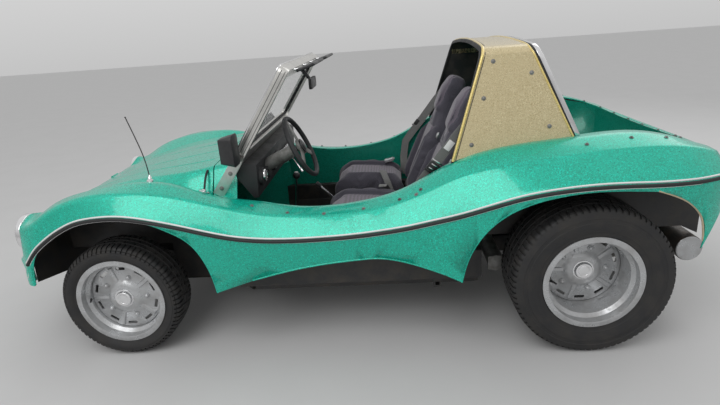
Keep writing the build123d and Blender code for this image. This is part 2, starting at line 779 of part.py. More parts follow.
# Windscreen frame: posts, header, foot bar and side brackets
slope = Vector(screen_top[0] - screen_base[0], 0, screen_top[1] - screen_base[1])
screen_plane = Plane(origin=(screen_base[0], 0, screen_base[1]), x_dir=(0, 1, 0),
                     z_dir=(slope.Z, 0, -slope.X))
screen_height = slope.length
with BuildPart() as windscreen_frame:
    with BuildSketch(screen_plane):
        with Locations((0, screen_height / 2)):
            Rectangle(2 * screen_half, screen_height)
            RectangleRounded(2 * (screen_half - post_width), screen_height - post_width - 50, 30, mode=Mode.SUBTRACT)
    extrude(amount=post_depth / 2, both=True)
    for side in (1, -1):
        with BuildSketch(along(side * (screen_half + bracket_wall / 2))):
            with BuildLine():
                Polyline((590, 742), (548, 722), (screen_base[0] - 28, screen_base[1] - 4),
                         (screen_base[0] - 4, screen_base[1] + 30), (screen_base[0] + 16, screen_base[1] + 8),
                         close=True)
            make_face()
        extrude(amount=bracket_wall / 2, both=True)
    add(lifted(body_form.part, z=seat_gap), mode=Mode.SUBTRACT)
    add(lifted(cowl_form.part, z=seat_gap), mode=Mode.SUBTRACT)
finish(windscreen_frame.part, "windscreen_frame")

with BuildPart() as windscreen_glass:
    with BuildSketch(screen_plane):
        with Locations((0, screen_height / 2)):
            RectangleRounded(2 * (screen_half - post_width - seat_gap), screen_height - post_width - 50 - 2 * seat_gap,
                             30 - seat_gap)
    extrude(amount=glass_thickness / 2, both=True)
finish(windscreen_glass.part, "windscreen_glass")

# Sun visors folded back from the header, each on two arms
up_x, up_z = slope.X / slope.length, slope.Z / slope.length


def behind_header(height):
    """The point on the header's rear face, a seat gap behind it, at a height along the slope."""
    back = post_depth / 2 + seat_gap
    return (screen_base[0] + up_x * height - up_z * back, screen_base[1] + up_z * height + up_x * back)


visor_plane = Plane(origin=(screen_top[0] - 24, 0, screen_top[1] - 36), x_dir=(0, 1, 0), z_dir=(0.24, 0, 0.97))
with BuildPart() as sun_visors:
    with BuildSketch(visor_plane):
        with Locations((visor_y, visor_depth / 2), (-visor_y, visor_depth / 2)):
            RectangleRounded(visor_width, visor_depth, 18)
    extrude(amount=visor_wall / 2, both=True)
    for side in (1, -1):
        for arm_offset in (-120, 120):
            with BuildSketch(along(side * visor_y + arm_offset)):
                with BuildLine():
                    Polyline((184, 1244), (184, 1254), behind_header(screen_height - 16),
                             behind_header(screen_height - 30), close=True)
                make_face()
            extrude(amount=8, both=True)
finish(sun_visors.part, "sun_visors")

with BuildPart() as inner_mirror:
    with BuildSketch(across(mirror_x)):
        with Locations((0, mirror_z)):
            RectangleRounded(190, 54, 16)
    extrude(amount=14)
    with BuildSketch(along(0)):
        with BuildLine():
            Polyline((mirror_x + 4, mirror_z + 10), (mirror_x + 14, mirror_z), behind_header(screen_height - 44),
                     behind_header(screen_height - 20), close=True)
        make_face()
    extrude(amount=7, both=True)
finish(inner_mirror.part, "inner_mirror")

with BuildPart() as door_mirror:
    with BuildSketch(across(door_mirror_x)):
        with Locations((door_mirror_y, door_mirror_z)):
            RectangleRounded(96, 138, 22)
    extrude(amount=62, taper=14)
    arm_start_y = screen_half + bracket_wall + seat_gap
    with Locations((door_mirror_x + 20, (door_mirror_y + arm_start_y) / 2, door_mirror_z - 46)):
        Box(24, door_mirror_y - arm_start_y, 18)
finish(door_mirror.part, "door_mirror")

# Dashboard across the cowl, with round gauges
with BuildPart() as dashboard:
    with BuildSketch(along(0)):
        with BuildLine():
            Polyline((cowl_rear_x - seat_gap, 852), (cowl_rear_x - 40, 858), (dash_x, 846), (dash_x + 8, dash_bottom_z),
                     (dash_x + 30, dash_bottom_z), (cowl_rear_x - seat_gap, 790), close=True)
        make_face()
    extrude(amount=dash_half, both=True)
    with BuildSketch(Plane.YZ.offset(dash_x + 10)):
        with Locations(*[(y, dash_bottom_z + 84) for y in GAUGES]):
            Circle(gauge_r)
    extrude(amount=-22)
    with BuildSketch(Plane(origin=steering_centre, x_dir=(0, 1, 0), z_dir=(column_cos, 0, -column_sin))):
        Circle(column_shroud_r + seat_gap)
    extrude(amount=500, mode=Mode.SUBTRACT)
finish(dashboard.part, "dashboard")

# Roof hoop: an arch of one section, cut to its side outline
def arch_outline(inset):
    """The closed outline across the hoop, its walls leaning in to a rounded roof."""
    foot, corner = (hoop_base_y - inset, 780), (hoop_top_y - inset, hoop_edge_z - inset)
    with BuildSketch() as outline:
        with BuildLine():
            Polyline((-corner[0], corner[1]), (-foot[0], foot[1]), foot, corner)
            ThreePointArc(corner, (0, hoop_top_z - inset), (-corner[0], corner[1]))
        make_face()
        fillet(outline.vertices().group_by(Axis.Y)[-1], hoop_corner_r - inset)
    return across(-1100) * outline.sketch


def arch(inset, thickness):
    """A band of the hoop's section, long enough to be cut to its side outline."""
    with BuildPart() as band:
        extrude(arch_outline(inset) - arch_outline(inset + thickness), amount=700)
    return band.part


def side_outline(front, rear, foot):
    """The hoop's side outline with its slanted front and rear edges moved by front and rear."""
    base = [(hoop_front_base_x + front, foot(hoop_front_base_x + front)),
            (hoop_front_top_x + front, hoop_top_z + 40),
            (hoop_rear_top_x + rear, hoop_top_z + 40),
            (hoop_rear_base_x + rear, foot(hoop_rear_base_x + rear))]
    middle = [(x, foot(x)) for x in range(-900, -550, 60)]
    return base + middle


def rim_height(x):
    """Height of the body's crest at x, between the stations."""
    rows = [(row[0], row[4]) for row in BODY]
    for (xa, za), (xb, zb) in zip(rows, rows[1:]):
        if xa >= x >= xb:
            return za + (zb - za) * (xa - x) / (xa - xb) + hoop_lift
    return rows[-1][1]


with BuildPart() as roof_hoop:
    add(arch(0, hoop_wall))
    add(cut_outline(side_outline(0, 0, rim_height), along(0), 900), mode=Mode.INTERSECT)
    add(lifted(body_form.part, z=seat_gap), mode=Mode.SUBTRACT)
finish(roof_hoop.part, "roof_hoop")


def slanted_slab(base_x, top_x, thickness):
    """A slab across the car that follows a slanted edge of the hoop, in front of it or behind."""
    return cut_outline([(base_x, rim_height(base_x)), (top_x, hoop_top_z + 40), (top_x + thickness, hoop_top_z + 40),
                        (base_x + thickness, rim_height(base_x + thickness))], along(0), 900)


with BuildPart() as hoop_seals:
    add(arch(0, seal_depth))
    add(slanted_slab(hoop_front_base_x + seat_gap, hoop_front_top_x + seat_gap, seal_width)
        + slanted_slab(hoop_rear_base_x - seat_gap, hoop_rear_top_x - seat_gap, -rear_seal_width),
        mode=Mode.INTERSECT)
    add(lifted(body_form.part, z=seat_gap), mode=Mode.SUBTRACT)
finish(hoop_seals.part, "hoop_seals")

with BuildPart() as hoop_chrome:
    add(arch(0, seal_depth))
    chrome_dx = -rear_seal_width - 2 * seat_gap
    add(slanted_slab(hoop_rear_base_x + chrome_dx, hoop_rear_top_x + chrome_dx, -chrome_width), mode=Mode.INTERSECT)
    add(lifted(body_form.part, z=seat_gap), mode=Mode.SUBTRACT)
finish(hoop_chrome.part, "hoop_chrome")

with BuildPart() as rear_window:
    extrude(arch_outline(seal_depth + seat_gap), amount=700)
    add(slanted_slab(hoop_rear_base_x - 3, hoop_rear_top_x - 3, -glass_thickness), mode=Mode.INTERSECT)
    add(lifted(body_form.part, z=seat_gap), mode=Mode.SUBTRACT)
finish(rear_window.part, "rear_window")

# Lamps
with BuildPart() as lamp_bezels:
    for side in (1, -1):
        with BuildSketch(across(BODY[0][0] + seat_gap)):
            with Locations((side * lamp_y, lamp_z)):
                Circle(lamp_r)
                Circle(lamp_r - 12, mode=Mode.SUBTRACT)
        extrude(amount=lamp_depth)
finish(lamp_bezels.part, "lamp_bezels")

with BuildPart() as headlamp_lenses:
    for side in (1, -1):
        with BuildSketch(across(BODY[0][0] + seat_gap)):
            with Locations((side * lamp_y, lamp_z)):
                Circle(lamp_r - 12 - seat_gap)
        extrude(amount=lamp_depth - 6)
    fillet(headlamp_lenses.faces().group_by(Axis.X)[-1].edges(), 8)
finish(headlamp_lenses.part, "headlamp_lenses")

with BuildPart() as front_indicators:
    for side in (1, -1):
        with BuildSketch(across(1540)):
            with Locations((side * 400, 440)):
                RectangleRounded(90, 40, 12)
        extrude(amount=90)
    add(lifted(nose_form.part, x=2 * seat_gap), mode=Mode.SUBTRACT)
    add(lifted(nose_form.part), mode=Mode.SUBTRACT)
finish(front_indicators.part, "front_indicators")

with BuildPart() as tail_lamps:
    for side in (1, -1):
        with BuildSketch(across(TAIL[-1][0] - seat_gap)):
            with Locations((side * tail_lamp_y, tail_lamp_z)):
                RectangleRounded(tail_lamp_width, tail_lamp_height, 12)
        extrude(amount=-(TAIL[-1][0] + length / 2 - seat_gap))
finish(tail_lamps.part, "tail_lamps")

with BuildPart() as antenna:
    with BuildLine() as mast:
        Line(antenna_foot, antenna_tip)
    with BuildSketch(Plane(origin=antenna_foot, z_dir=mast.line % 0)):
        Circle(3)
    sweep()
    with BuildSketch(Plane.XY.offset(antenna_foot[2])):
        with Locations(antenna_foot[:2]):
            Circle(14)
    extrude(amount=-20)
    add(lifted(body_form.part, z=seat_gap), mode=Mode.SUBTRACT)
finish(antenna.part, "antenna")

# Seats: padded cushions and backs on box runners
with BuildPart() as seat_cushions:
    for side in (1, -1):
        with BuildSketch(along(side * seat_y)):
            with BuildLine():
                Polyline((seat_front_x, cushion_z + 30), (seat_front_x - 20, cushion_z + cushion_height),
                         (back_face_x(cushion_rear_z), cushion_rear_z), (back_face_x(cushion_z), cushion_z),
                         (seat_front_x - 40, cushion_z), close=True)
            make_face()
        extrude(amount=seat_width / 2, both=True)
    fillet(seat_cushions.edges().filter_by(Axis.Y).group_by(Axis.X)[-1], 16)
finish(seat_cushions.part, "seat_cushions")

with BuildPart() as seat_backs:
    for side in (1, -1):
        with BuildSketch(back_plane(side)):
            with BuildLine():
                Polyline((-seat_width / 2, 0), (seat_width / 2, 0), (seat_width / 2 - 10, shoulder_length),
                         (headrest_half, neck_length), (headrest_half - 8, back_length),
                         (8 - headrest_half, back_length), (-headrest_half, neck_length),
                         (10 - seat_width / 2, shoulder_length), close=True)
            make_face()
        extrude(amount=-back_depth)
    fillet(seat_backs.edges().group_by(SortBy.LENGTH)[-1], 12)
finish(seat_backs.part, "seat_backs")

with BuildPart() as seat_runners:
    for side in (1, -1):
        for offset_y in (-150, 150):
            with Locations((-90, side * seat_y + offset_y, (floor_top + cushion_z - seat_gap) / 2)):
                Box(330, 40, cushion_z - seat_gap - floor_top)
finish(seat_runners.part, "seat_runners")

# Controls
with BuildPart() as hand_levers:
    with BuildLine() as lever:
        Line((333, 0, tunnel_z + seat_gap + 6), (296, 10, 650))
    with BuildSketch(Plane(origin=lever.line @ 0, z_dir=lever.line % 0)):
        Circle(8)
    sweep()
    with Locations(lever.line @ 1):
        Sphere(22)
    with Locations((333, 0, tunnel_z + seat_gap + 12)):
        Cylinder(34, 24)
    with BuildLine() as grip:
        Line((-30, 0, tunnel_z + seat_gap + 20), (180, 20, 600))
    with BuildSketch(Plane(origin=grip.line @ 0, z_dir=grip.line % 0)):
        Circle(12)
    sweep()
    with Locations((-30, 0, tunnel_z + seat_gap + 15)):
        Box(80, 40, 30)
finish(hand_levers.part, "hand_levers")

with BuildPart() as pedals:
    for y in (115, 175, 235):
        with Locations((toe_x - 100, y, 430)):
            Box(10, 50, 70, rotation=(0, -25, 0))
        with Locations((toe_x - 92, y, (head_top + 430) / 2)):
            Box(14, 14, 430 - head_top)
finish(pedals.part, "pedals")

column_axis = Plane(origin=steering_centre, x_dir=(0, 1, 0), z_dir=(column_cos, 0, -column_sin))
with BuildPart() as steering_column:
    with BuildSketch(column_axis.offset(column_start)):
        Circle(column_shroud_r)
    extrude(amount=column_shroud_length)
    with BuildSketch(column_axis.offset(column_start)):
        Circle(column_tube_r)
    extrude(amount=column_end - column_start)
    with BuildSketch(column_axis.offset(column_start)):
        Circle(shaft_r + shaft_gap)
    extrude(amount=60, mode=Mode.SUBTRACT)
finish(steering_column.part, "steering_column")

with BuildPart() as steering_wheel:
    with BuildSketch(Plane(origin=steering_centre, x_dir=(0, 1, 0), z_dir=(column_sin, 0, column_cos))):
        with Locations((steering_r, 0)):
            Circle(14)
    revolve(axis=Axis(steering_centre, (column_cos, 0, -column_sin)))
    with BuildSketch(column_axis.offset(-16)):
        Circle(58)
    extrude(amount=32)
    with BuildSketch(column_axis.offset(-3)):
        with PolarLocations((steering_r + 40) / 2, 3, start_angle=90, rotate=True):
            Rectangle(steering_r - 50, 34)
    extrude(amount=6)
    with BuildSketch(column_axis):
        Circle(shaft_r)
    extrude(amount=column_start + 50)
finish(steering_wheel.part, "steering_wheel")

# Latches beside the lid's rear corners, and the fuel tank in the front box
with BuildPart() as lid_latches:
    for side in (1, -1):
        with Locations((622, side * 540, 776)):
            Box(36, 14, 60)
        with Locations((622, side * 540, 806)):
            Box(14, 20, 20)
    add(lifted(body_form.part, z=seat_gap), mode=Mode.SUBTRACT)
finish(lid_latches.part, "lid_latches")

with BuildPart() as fuel_tank:
    tank_floor = box_top + panel + seat_gap
    with Locations((1130, 0, tank_floor + 110)):
        Box(300, 640, 220)
    fillet(fuel_tank.edges().filter_by(Axis.Z), 50)
finish(fuel_tank.part, "fuel_tank")

# Seat belts: shoulder straps from the hoop's foot down the seat backs
with BuildPart() as seat_belts:
    for side in (1, -1):
        with BuildSketch(back_plane(side).offset(seat_gap)):
            with BuildLine():
                Polyline((side * 130 - 23, 170), (side * 130 + 23, 170), (side * 150 + 23, 380), (side * 150 - 23, 380),
                         close=True)
            make_face()
        extrude(amount=3)
finish(seat_belts.part, "seat_belts")
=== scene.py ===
import bpy
import bmesh
import json
from math import cos, pi, radians, sin
from mathutils import Matrix, Vector
from mathutils.bvhtree import BVHTree


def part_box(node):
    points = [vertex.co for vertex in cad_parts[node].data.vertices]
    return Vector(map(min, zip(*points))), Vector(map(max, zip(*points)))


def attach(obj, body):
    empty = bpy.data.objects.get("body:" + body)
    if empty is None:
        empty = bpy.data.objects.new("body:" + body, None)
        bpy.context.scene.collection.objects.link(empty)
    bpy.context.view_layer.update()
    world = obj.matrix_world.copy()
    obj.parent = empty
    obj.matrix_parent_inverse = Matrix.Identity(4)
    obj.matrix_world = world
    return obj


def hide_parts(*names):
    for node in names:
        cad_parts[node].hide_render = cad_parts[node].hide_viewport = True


bl_info = {
    "name": "Dune buggy",
    "version": (1, 0, 0),
    "blender": (4, 5, 0),
    "location": "View3D > Sidebar > Buggy",
    "description": "Dresses the dune buggy's frame with paint, trim, tyres, seats and fittings",
    "category": "Object",
}

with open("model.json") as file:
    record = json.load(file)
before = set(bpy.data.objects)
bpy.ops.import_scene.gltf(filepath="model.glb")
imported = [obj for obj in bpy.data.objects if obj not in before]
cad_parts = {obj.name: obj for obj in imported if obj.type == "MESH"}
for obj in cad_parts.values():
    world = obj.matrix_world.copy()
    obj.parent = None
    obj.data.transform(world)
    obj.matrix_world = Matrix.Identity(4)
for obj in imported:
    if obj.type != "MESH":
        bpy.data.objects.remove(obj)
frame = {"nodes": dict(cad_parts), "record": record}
BODY_OF = {node: body for body, nodes in frame["record"]["behaviour"]["bodies"].items() for node in nodes}
SLOT_OF = {part["node"]: part["material_slot"] for part in frame["record"]["subparts"]}
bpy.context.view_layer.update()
MATERIALS = {}
SIDES = ((1, "left"), (-1, "right"))
MERGE_DISTANCE = 0.00002


# Node helpers
def set_socket(socket, value):
    """Sets a socket's own value; a colour of three numbers is opaque."""
    socket.default_value = (*value, 1) if socket.type == "RGBA" and len(value) == 3 else value


def feed(tree, node, feeds):
    """Links each source to the socket that feeds names."""
    for socket, source in feeds.items():
        tree.links.new(source, node.inputs[socket])
    return node


def add_node(tree, kind, feeds, **settings):
    """A node with its settings and own values, fed by other sockets."""
    node = tree.nodes.new(kind)
    for key, value in settings.items():
        if key in node.inputs:
            node.inputs[key].default_value = value
        else:
            setattr(node, key, value)
    return feed(tree, node, feeds)


def remap(tree, value, low, high, start=0.0, end=1.0):
    """The value, with start to end spread over low to high."""
    ends = {"From Min": start, "From Max": end, "To Min": low, "To Max": high}
    return add_node(tree, "ShaderNodeMapRange", {"Value": value}, **ends).outputs["Result"]


def combined(tree, operation, first, second, kind="Math"):
    """The product or sum of two sockets' values, or of their vectors."""
    return add_node(tree, "ShaderNode" + kind, {0: first, 1: second}, operation=operation).outputs[0]


def mixed(tree, factor, first, second):
    """The colour that lies between two others by the factor."""
    return add_node(tree, "ShaderNodeMix", {"Factor": factor, 6: first, 7: second}, data_type="RGBA").outputs[2]


def bumped(tree, height, **settings):
    """A bump node that reads its height from a socket."""
    return add_node(tree, "ShaderNodeBump", {"Height": height}, **settings)


def object_point(tree):
    """The socket that gives a point's place in its object."""
    return tree.nodes.new("ShaderNodeTexCoord").outputs["Object"]


def group(name, outputs, **inputs):
    """A shader node group; returns its tree, its input sockets and its output node."""
    tree = bpy.data.node_groups.new(name, "ShaderNodeTree")
    for label, value in inputs.items():
        kind = {1: "Float", 3: "Vector", 4: "Color"}[len(value) if isinstance(value, tuple) else 1]
        tree.interface.new_socket(label, in_out="INPUT", socket_type="NodeSocket" + kind).default_value = value
    for label in outputs:
        kind = {"Color": "Color", "Normal": "Vector"}.get(label, "Float")
        tree.interface.new_socket(label, in_out="OUTPUT", socket_type="NodeSocket" + kind)
    return tree, tree.nodes.new("NodeGroupInput").outputs, tree.nodes.new("NodeGroupOutput")


def place_group(tree, name, **values):
    """Places a node group with its own values; returns its output sockets."""
    node = tree.nodes.new("ShaderNodeGroup")
    node.node_tree = bpy.data.node_groups[name]
    for key, value in values.items():
        set_socket(node.inputs[key], value)
    return node.outputs


def start_material(name, **settings):
    """A new material; returns its tree and its shader with the settings as own values."""
    material = bpy.data.materials.new(name)
    material.use_nodes = True
    shader = material.node_tree.nodes["Principled BSDF"]
    for key, value in settings.items():
        set_socket(shader.inputs[key.replace("_", " ")], value)
    MATERIALS[name] = material
    return material.node_tree, shader


def make_groups():
    """Flake, grime, grain, brushing and weave, each used by several finishes."""
    tree, given, end = group("Flake", ("Color", "Roughness"), Base=(0, 0.3, 0.2, 1), Bright=(0, 0.6, 0.4, 1),
                             Dark=(0, 0.15, 0.1, 1), Scale=330.0, Strength=0.6)
    point = object_point(tree)
    fine = add_node(tree, "ShaderNodeTexVoronoi", {"Vector": point, "Scale": given["Scale"]}, feature="F1")
    split = add_node(tree, "ShaderNodeSeparateColor", {"Color": fine.outputs["Color"]}).outputs
    cloud = add_node(tree, "ShaderNodeTexNoise", {"Vector": point}, Scale=5.0, Detail=3.0)
    level = remap(tree, cloud.outputs["Fac"], 0.55, 1.0, 0.3, 0.7)
    weight = combined(tree, "MULTIPLY", level, given["Strength"])
    colour = given["Base"]
    for fleck, mask in (("Bright", remap(tree, split["Red"], 0.0, 1.0, 0.62, 1.0)),
                        ("Dark", remap(tree, split["Green"], 1.0, 0.0, 0.0, 0.4))):
        colour = mixed(tree, combined(tree, "MULTIPLY", mask, weight), colour, given[fleck])
    feed(tree, end, {"Color": colour, "Roughness": remap(tree, split["Blue"], 0.42, 0.26)})

    tree, given, end = group("Grime", ("Color", "Mask"), Clean=(0.5, 0.5, 0.5, 1), Dirt=(0.12, 0.1, 0.08, 1),
                             Amount=0.3, Scale=14.0)
    cloud = add_node(tree, "ShaderNodeTexNoise", {"Vector": object_point(tree), "Scale": given["Scale"]}, Detail=8.0,
                     Roughness=0.65)
    mask = remap(tree, cloud.outputs["Fac"], 0.0, 1.0, 0.42, 0.72)
    amount = combined(tree, "MULTIPLY", mask, given["Amount"])
    feed(tree, end, {"Color": mixed(tree, amount, given["Clean"], given["Dirt"]), "Mask": mask})

    tree, given, end = group("Grain", ("Normal",), Scale=300.0, Strength=0.2, Depth=0.001)
    cells = add_node(tree, "ShaderNodeTexNoise", {"Vector": object_point(tree), "Scale": given["Scale"]}, Detail=5.0,
                     Roughness=0.6)
    bump = feed(tree, bumped(tree, cells.outputs["Fac"]), {"Strength": given["Strength"], "Distance": given["Depth"]})
    feed(tree, end, {"Normal": bump.outputs["Normal"]})

    tree, given, end = group("Brushing", ("Normal", "Value"), Stretch=(4.0, 400.0, 400.0))
    scaled = combined(tree, "MULTIPLY", object_point(tree), given["Stretch"], "VectorMath")
    lines = add_node(tree, "ShaderNodeTexNoise", {"Vector": scaled}, Scale=1.0, Detail=4.0).outputs["Fac"]
    bump = bumped(tree, lines, Strength=0.25, Distance=0.0004)
    feed(tree, end, {"Normal": bump.outputs["Normal"], "Value": lines})

    tree, given, end = group("Weave", ("Color", "Normal"), Thread=(0.1, 0.1, 0.1, 1), Shadow=(0.03, 0.03, 0.03, 1),
                             Scale=260.0)
    point = object_point(tree)
    across, along, deep = [
        add_node(tree, "ShaderNodeTexWave", {"Vector": point, "Scale": given["Scale"]}, bands_direction=direction,
                 Distortion=1.2, Detail=2.0).outputs["Fac"] for direction in ("X", "Y", "Z")]
    both = combined(tree, "ADD", combined(tree, "MULTIPLY", across, along), deep)
    half = remap(tree, both, 0.0, 1.0, 0.0, 2.0)
    bump = bumped(tree, half, Strength=0.35, Distance=0.0008)
    feed(tree, end, {"Color": mixed(tree, half, given["Shadow"], given["Thread"]), "Normal": bump.outputs["Normal"]})


def flake_material(name, base, bright, dark, strength, metallic, coat):
    """Paint with bright and dark flakes under a clear coat that ripples softly."""
    tree, shader = start_material(name, Metallic=metallic, Coat_Weight=coat, Coat_Roughness=0.06)
    flake = place_group(tree, "Flake", Base=base, Bright=bright, Dark=dark, Strength=strength)
    grain = place_group(tree, "Grain", Scale=26.0, Strength=0.1, Depth=0.002)
    feed(tree, shader, {"Base Color": flake["Color"], "Roughness": flake["Roughness"],
                        "Coat Normal": grain["Normal"]})


def painted(name, clean, dirt, amount, roughness, metallic=0.0, grain=300.0, bump=0.15, scale=14.0, **more):
    """A finish with soft dirt in patches and a fine surface grain."""
    tree, shader = start_material(name, Metallic=metallic, Roughness=roughness, **more)
    grime = place_group(tree, "Grime", Clean=clean, Dirt=dirt, Amount=amount, Scale=scale)
    surface = place_group(tree, "Grain", Scale=grain, Strength=bump, Depth=0.001)
    rough = remap(tree, grime["Mask"], max(roughness - 0.08, 0.02), roughness + 0.2)
    feed(tree, shader, {"Base Color": grime["Color"], "Normal": surface["Normal"], "Roughness": rough})


def brushed(name, colour, roughness, stretch):
    """A metal with fine lines along its shortest stretch."""
    tree, shader = start_material(name, Metallic=1.0, Roughness=roughness)
    grime = place_group(tree, "Grime", Clean=colour, Dirt=tuple(c * 0.6 for c in colour), Amount=0.35)
    lines = place_group(tree, "Brushing", Stretch=stretch)
    rough = remap(tree, lines["Value"], roughness - 0.08, roughness + 0.12)
    feed(tree, shader, {"Base Color": grime["Color"], "Normal": lines["Normal"], "Roughness": rough})


def woven(name, thread, shadow, scale, sheen):
    """Cloth or webbing, with the shadow's colour between its threads."""
    tree, shader = start_material(name, Roughness=0.9, Sheen_Weight=sheen, Sheen_Roughness=0.5)
    weave = place_group(tree, "Weave", Thread=thread, Shadow=shadow, Scale=scale)
    feed(tree, shader, {"Base Color": weave["Color"], "Normal": weave["Normal"]})


def clear(name, colour, roughness, transmission, bands=None):
    """Glass or a lens, with moulded bands where bands gives their stretch."""
    tree, shader = start_material(name, Base_Color=colour, Roughness=roughness, IOR=1.45,
                                  Transmission_Weight=transmission)
    if bands:
        scaled = add_node(tree, "ShaderNodeVectorMath", {0: object_point(tree)}, operation="MULTIPLY")
        scaled.inputs[1].default_value = bands
        wave = add_node(tree, "ShaderNodeTexWave", {"Vector": scaled.outputs[0]}, bands_direction="DIAGONAL",
                        Scale=1.0)
        bump = bumped(tree, wave.outputs["Fac"], Strength=0.5, Distance=0.002)
        feed(tree, shader, {"Normal": bump.outputs["Normal"]})
    else:
        dust = place_group(tree, "Grime", Clean=colour, Dirt=(0.6, 0.6, 0.58), Amount=0.05)
        feed(tree, shader, {"Base Color": dust["Color"]})


def make_materials(green, gold):
    make_groups()
    flake_material("green_flake", green, (0.0, 0.88, 0.68), (0.0, 0.17, 0.10), 0.85, 0.3, 0.6)
    flake_material("gold_flake", gold, (0.95, 0.84, 0.55), (0.33, 0.25, 0.09), 0.6, 0.3, 0.6)
    # Painted shade: the inner walls get a darker copy of the body's green flake, standing for the shade inside the
    # cockpit and wells.
    flake_material("inner_green", (0.003, 0.27, 0.185), (0.01, 0.5, 0.36), (0.0, 0.1, 0.06), 0.7, 0.15, 0.4)
    # Painted highlight: a brighter copy of the hoop's gold for its rolled flanges, standing for the light they catch.
    flake_material("highlit_gold_edge", (0.85, 0.66, 0.22), (1.0, 0.9, 0.55), (0.4, 0.28, 0.06), 0.5, 0.5, 0.8)
    painted("cast_aluminium", (0.6, 0.6, 0.58), (0.35, 0.33, 0.3), 0.4, 0.4, metallic=0.7, grain=200.0, bump=0.25)
    brushed("stainless", (0.72, 0.71, 0.68), 0.3, (500.0, 500.0, 6.0))
    painted("chrome", (0.85, 0.85, 0.86), (0.4, 0.38, 0.36), 0.25, 0.09, metallic=1.0, bump=0.03)
    painted("exhaust_steel", (0.5, 0.49, 0.47), (0.2, 0.15, 0.11), 0.7, 0.42, metallic=0.9, scale=22.0)
    painted("sooty_steel", (0.075, 0.07, 0.066), (0.16, 0.12, 0.09), 0.6, 0.5, metallic=0.6, scale=22.0)
    painted("rim_silver", (0.5, 0.51, 0.52), (0.2, 0.18, 0.16), 0.4, 0.34, metallic=0.55, bump=0.06,
            Coat_Weight=0.3, Coat_Roughness=0.2)
    painted("cast_metal", (0.28, 0.28, 0.27), (0.06, 0.05, 0.04), 0.8, 0.55, metallic=0.6, grain=160.0, bump=0.5)
    painted("chassis_black", (0.022, 0.022, 0.023), (0.1, 0.085, 0.065), 0.45, 0.5, grain=180.0, bump=0.3)
    painted("black_plastic", (0.018, 0.018, 0.02), (0.07, 0.07, 0.068), 0.3, 0.42, grain=600.0, bump=0.25)
    painted("dark_trim", (0.022, 0.022, 0.024), (0.06, 0.06, 0.06), 0.4, 0.6, grain=420.0, bump=0.6)
    painted("black_rubber", (0.014, 0.014, 0.015), (0.05, 0.05, 0.05), 0.4, 0.62, grain=300.0, bump=0.2)
    painted("tyre_rubber", (0.017, 0.017, 0.018), (0.07, 0.064, 0.056), 0.45, 0.7, grain=240.0, bump=0.25)
    painted("white_trim", (0.8, 0.8, 0.8), (0.45, 0.44, 0.42), 0.2, 0.25, bump=0.03)
    painted("raw_edge", (0.55, 0.47, 0.32), (0.3, 0.25, 0.17), 0.5, 0.7, grain=200.0, bump=0.4)
    painted("dial_white", (0.75, 0.75, 0.72), (0.6, 0.6, 0.57), 0.2, 0.5, bump=0.02)
    woven("seat_fabric", (0.12, 0.112, 0.145), (0.035, 0.033, 0.043), 240.0, 0.25)
    woven("seat_panel", (0.235, 0.205, 0.25), (0.08, 0.068, 0.088), 200.0, 0.35)
    woven("belt_webbing", (0.3, 0.3, 0.29), (0.12, 0.12, 0.12), 420.0, 0.1)
    clear("clear_glass", (0.95, 0.97, 0.97), 0.02, 1.0)
    clear("tinted_glass", (0.12, 0.13, 0.13), 0.04, 0.85)
    clear("lamp_glass", (0.96, 0.97, 0.98), 0.05, 1.0, bands=(1.0, 260.0, 1.0))
    clear("amber_lens", (0.9, 0.32, 0.03), 0.12, 0.35, bands=(220.0, 220.0, 220.0))
    clear("red_lens", (0.62, 0.02, 0.015), 0.12, 0.3, bands=(220.0, 220.0, 220.0))


# Mesh helpers
def finish_piece(name, bm, material, node, angle=35.0, merge=True, replaces=False):
    """Makes the mesh an object on the node's body, which stands for the node where replaces is set."""
    if merge:
        bmesh.ops.remove_doubles(bm, verts=bm.verts, dist=MERGE_DISTANCE)
        bmesh.ops.recalc_face_normals(bm, faces=bm.faces)
    mesh = bpy.data.meshes.new(name)
    bm.to_mesh(mesh)
    bm.free()
    for polygon in mesh.polygons:
        polygon.use_smooth = True
    mesh.set_sharp_from_angle(angle=radians(angle))
    piece = bpy.data.objects.new(name, mesh)
    bpy.context.scene.collection.objects.link(piece)
    mesh.materials.append(MATERIALS[material])
    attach(piece, BODY_OF[node])
    if replaces:
        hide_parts(node)
    return piece


def face_materials(piece, material, choose):
    """Gives the second material to the faces that choose(centre, normal) picks."""
    piece.data.materials.append(MATERIALS[material])
    for polygon in piece.data.polygons:
        polygon.material_index = choose(polygon.center, polygon.normal)


def ease(bm, edges, width, segments=2, clamp=False):
    """Rounds the edges; returns what the bevel made."""
    return bmesh.ops.bevel(bm, geom=list(edges), offset=width, segments=segments, profile=0.5, affect="EDGES",
                           material=-1, clamp_overlap=clamp)


def dressed(node, material=None, bevel=0.0, angle=35.0):
    """A merged, smoothly shaded copy of a node that stands for it, with its edges eased by bevel."""
    bm = bmesh.new()
    bm.from_mesh(frame["nodes"][node].data)
    bmesh.ops.remove_doubles(bm, verts=bm.verts, dist=MERGE_DISTANCE)
    bmesh.ops.dissolve_limit(bm, angle_limit=radians(1.0), verts=bm.verts, edges=bm.edges)
    if bevel:
        edges = [e for e in bm.edges if len(e.link_faces) == 2 and e.calc_face_angle(0) > radians(35)]
        ease(bm, edges, bevel, clamp=True)
    return finish_piece(node + "_skin", bm, material or SLOT_OF[node], node, angle, merge=False, replaces=True)


def tree_of(node):
    """The node's triangles in a search tree, to place pieces on its surface."""
    mesh = frame["nodes"][node].data
    return BVHTree.FromPolygons([v.co.copy() for v in mesh.vertices], [list(p.vertices) for p in mesh.polygons])


def on_side(tree, x, z, side, out=0.0):
    """The point and outward normal where the body's side lies at x and z, or just above an edge there."""
    for lift in range(8):
        start = Vector((x, side * 1.3, z + 0.004 * lift))
        hit, normal = tree.ray_cast(start, Vector((0, -side, 0)), 0.9)[:2]
        if hit is not None:
            normal = normal if normal.y * side > 0 else -normal
            return Vector((x, hit.y, z)) + normal * out, normal
    raise RuntimeError(f"no body side at x {x:.3f} z {z:.3f}")


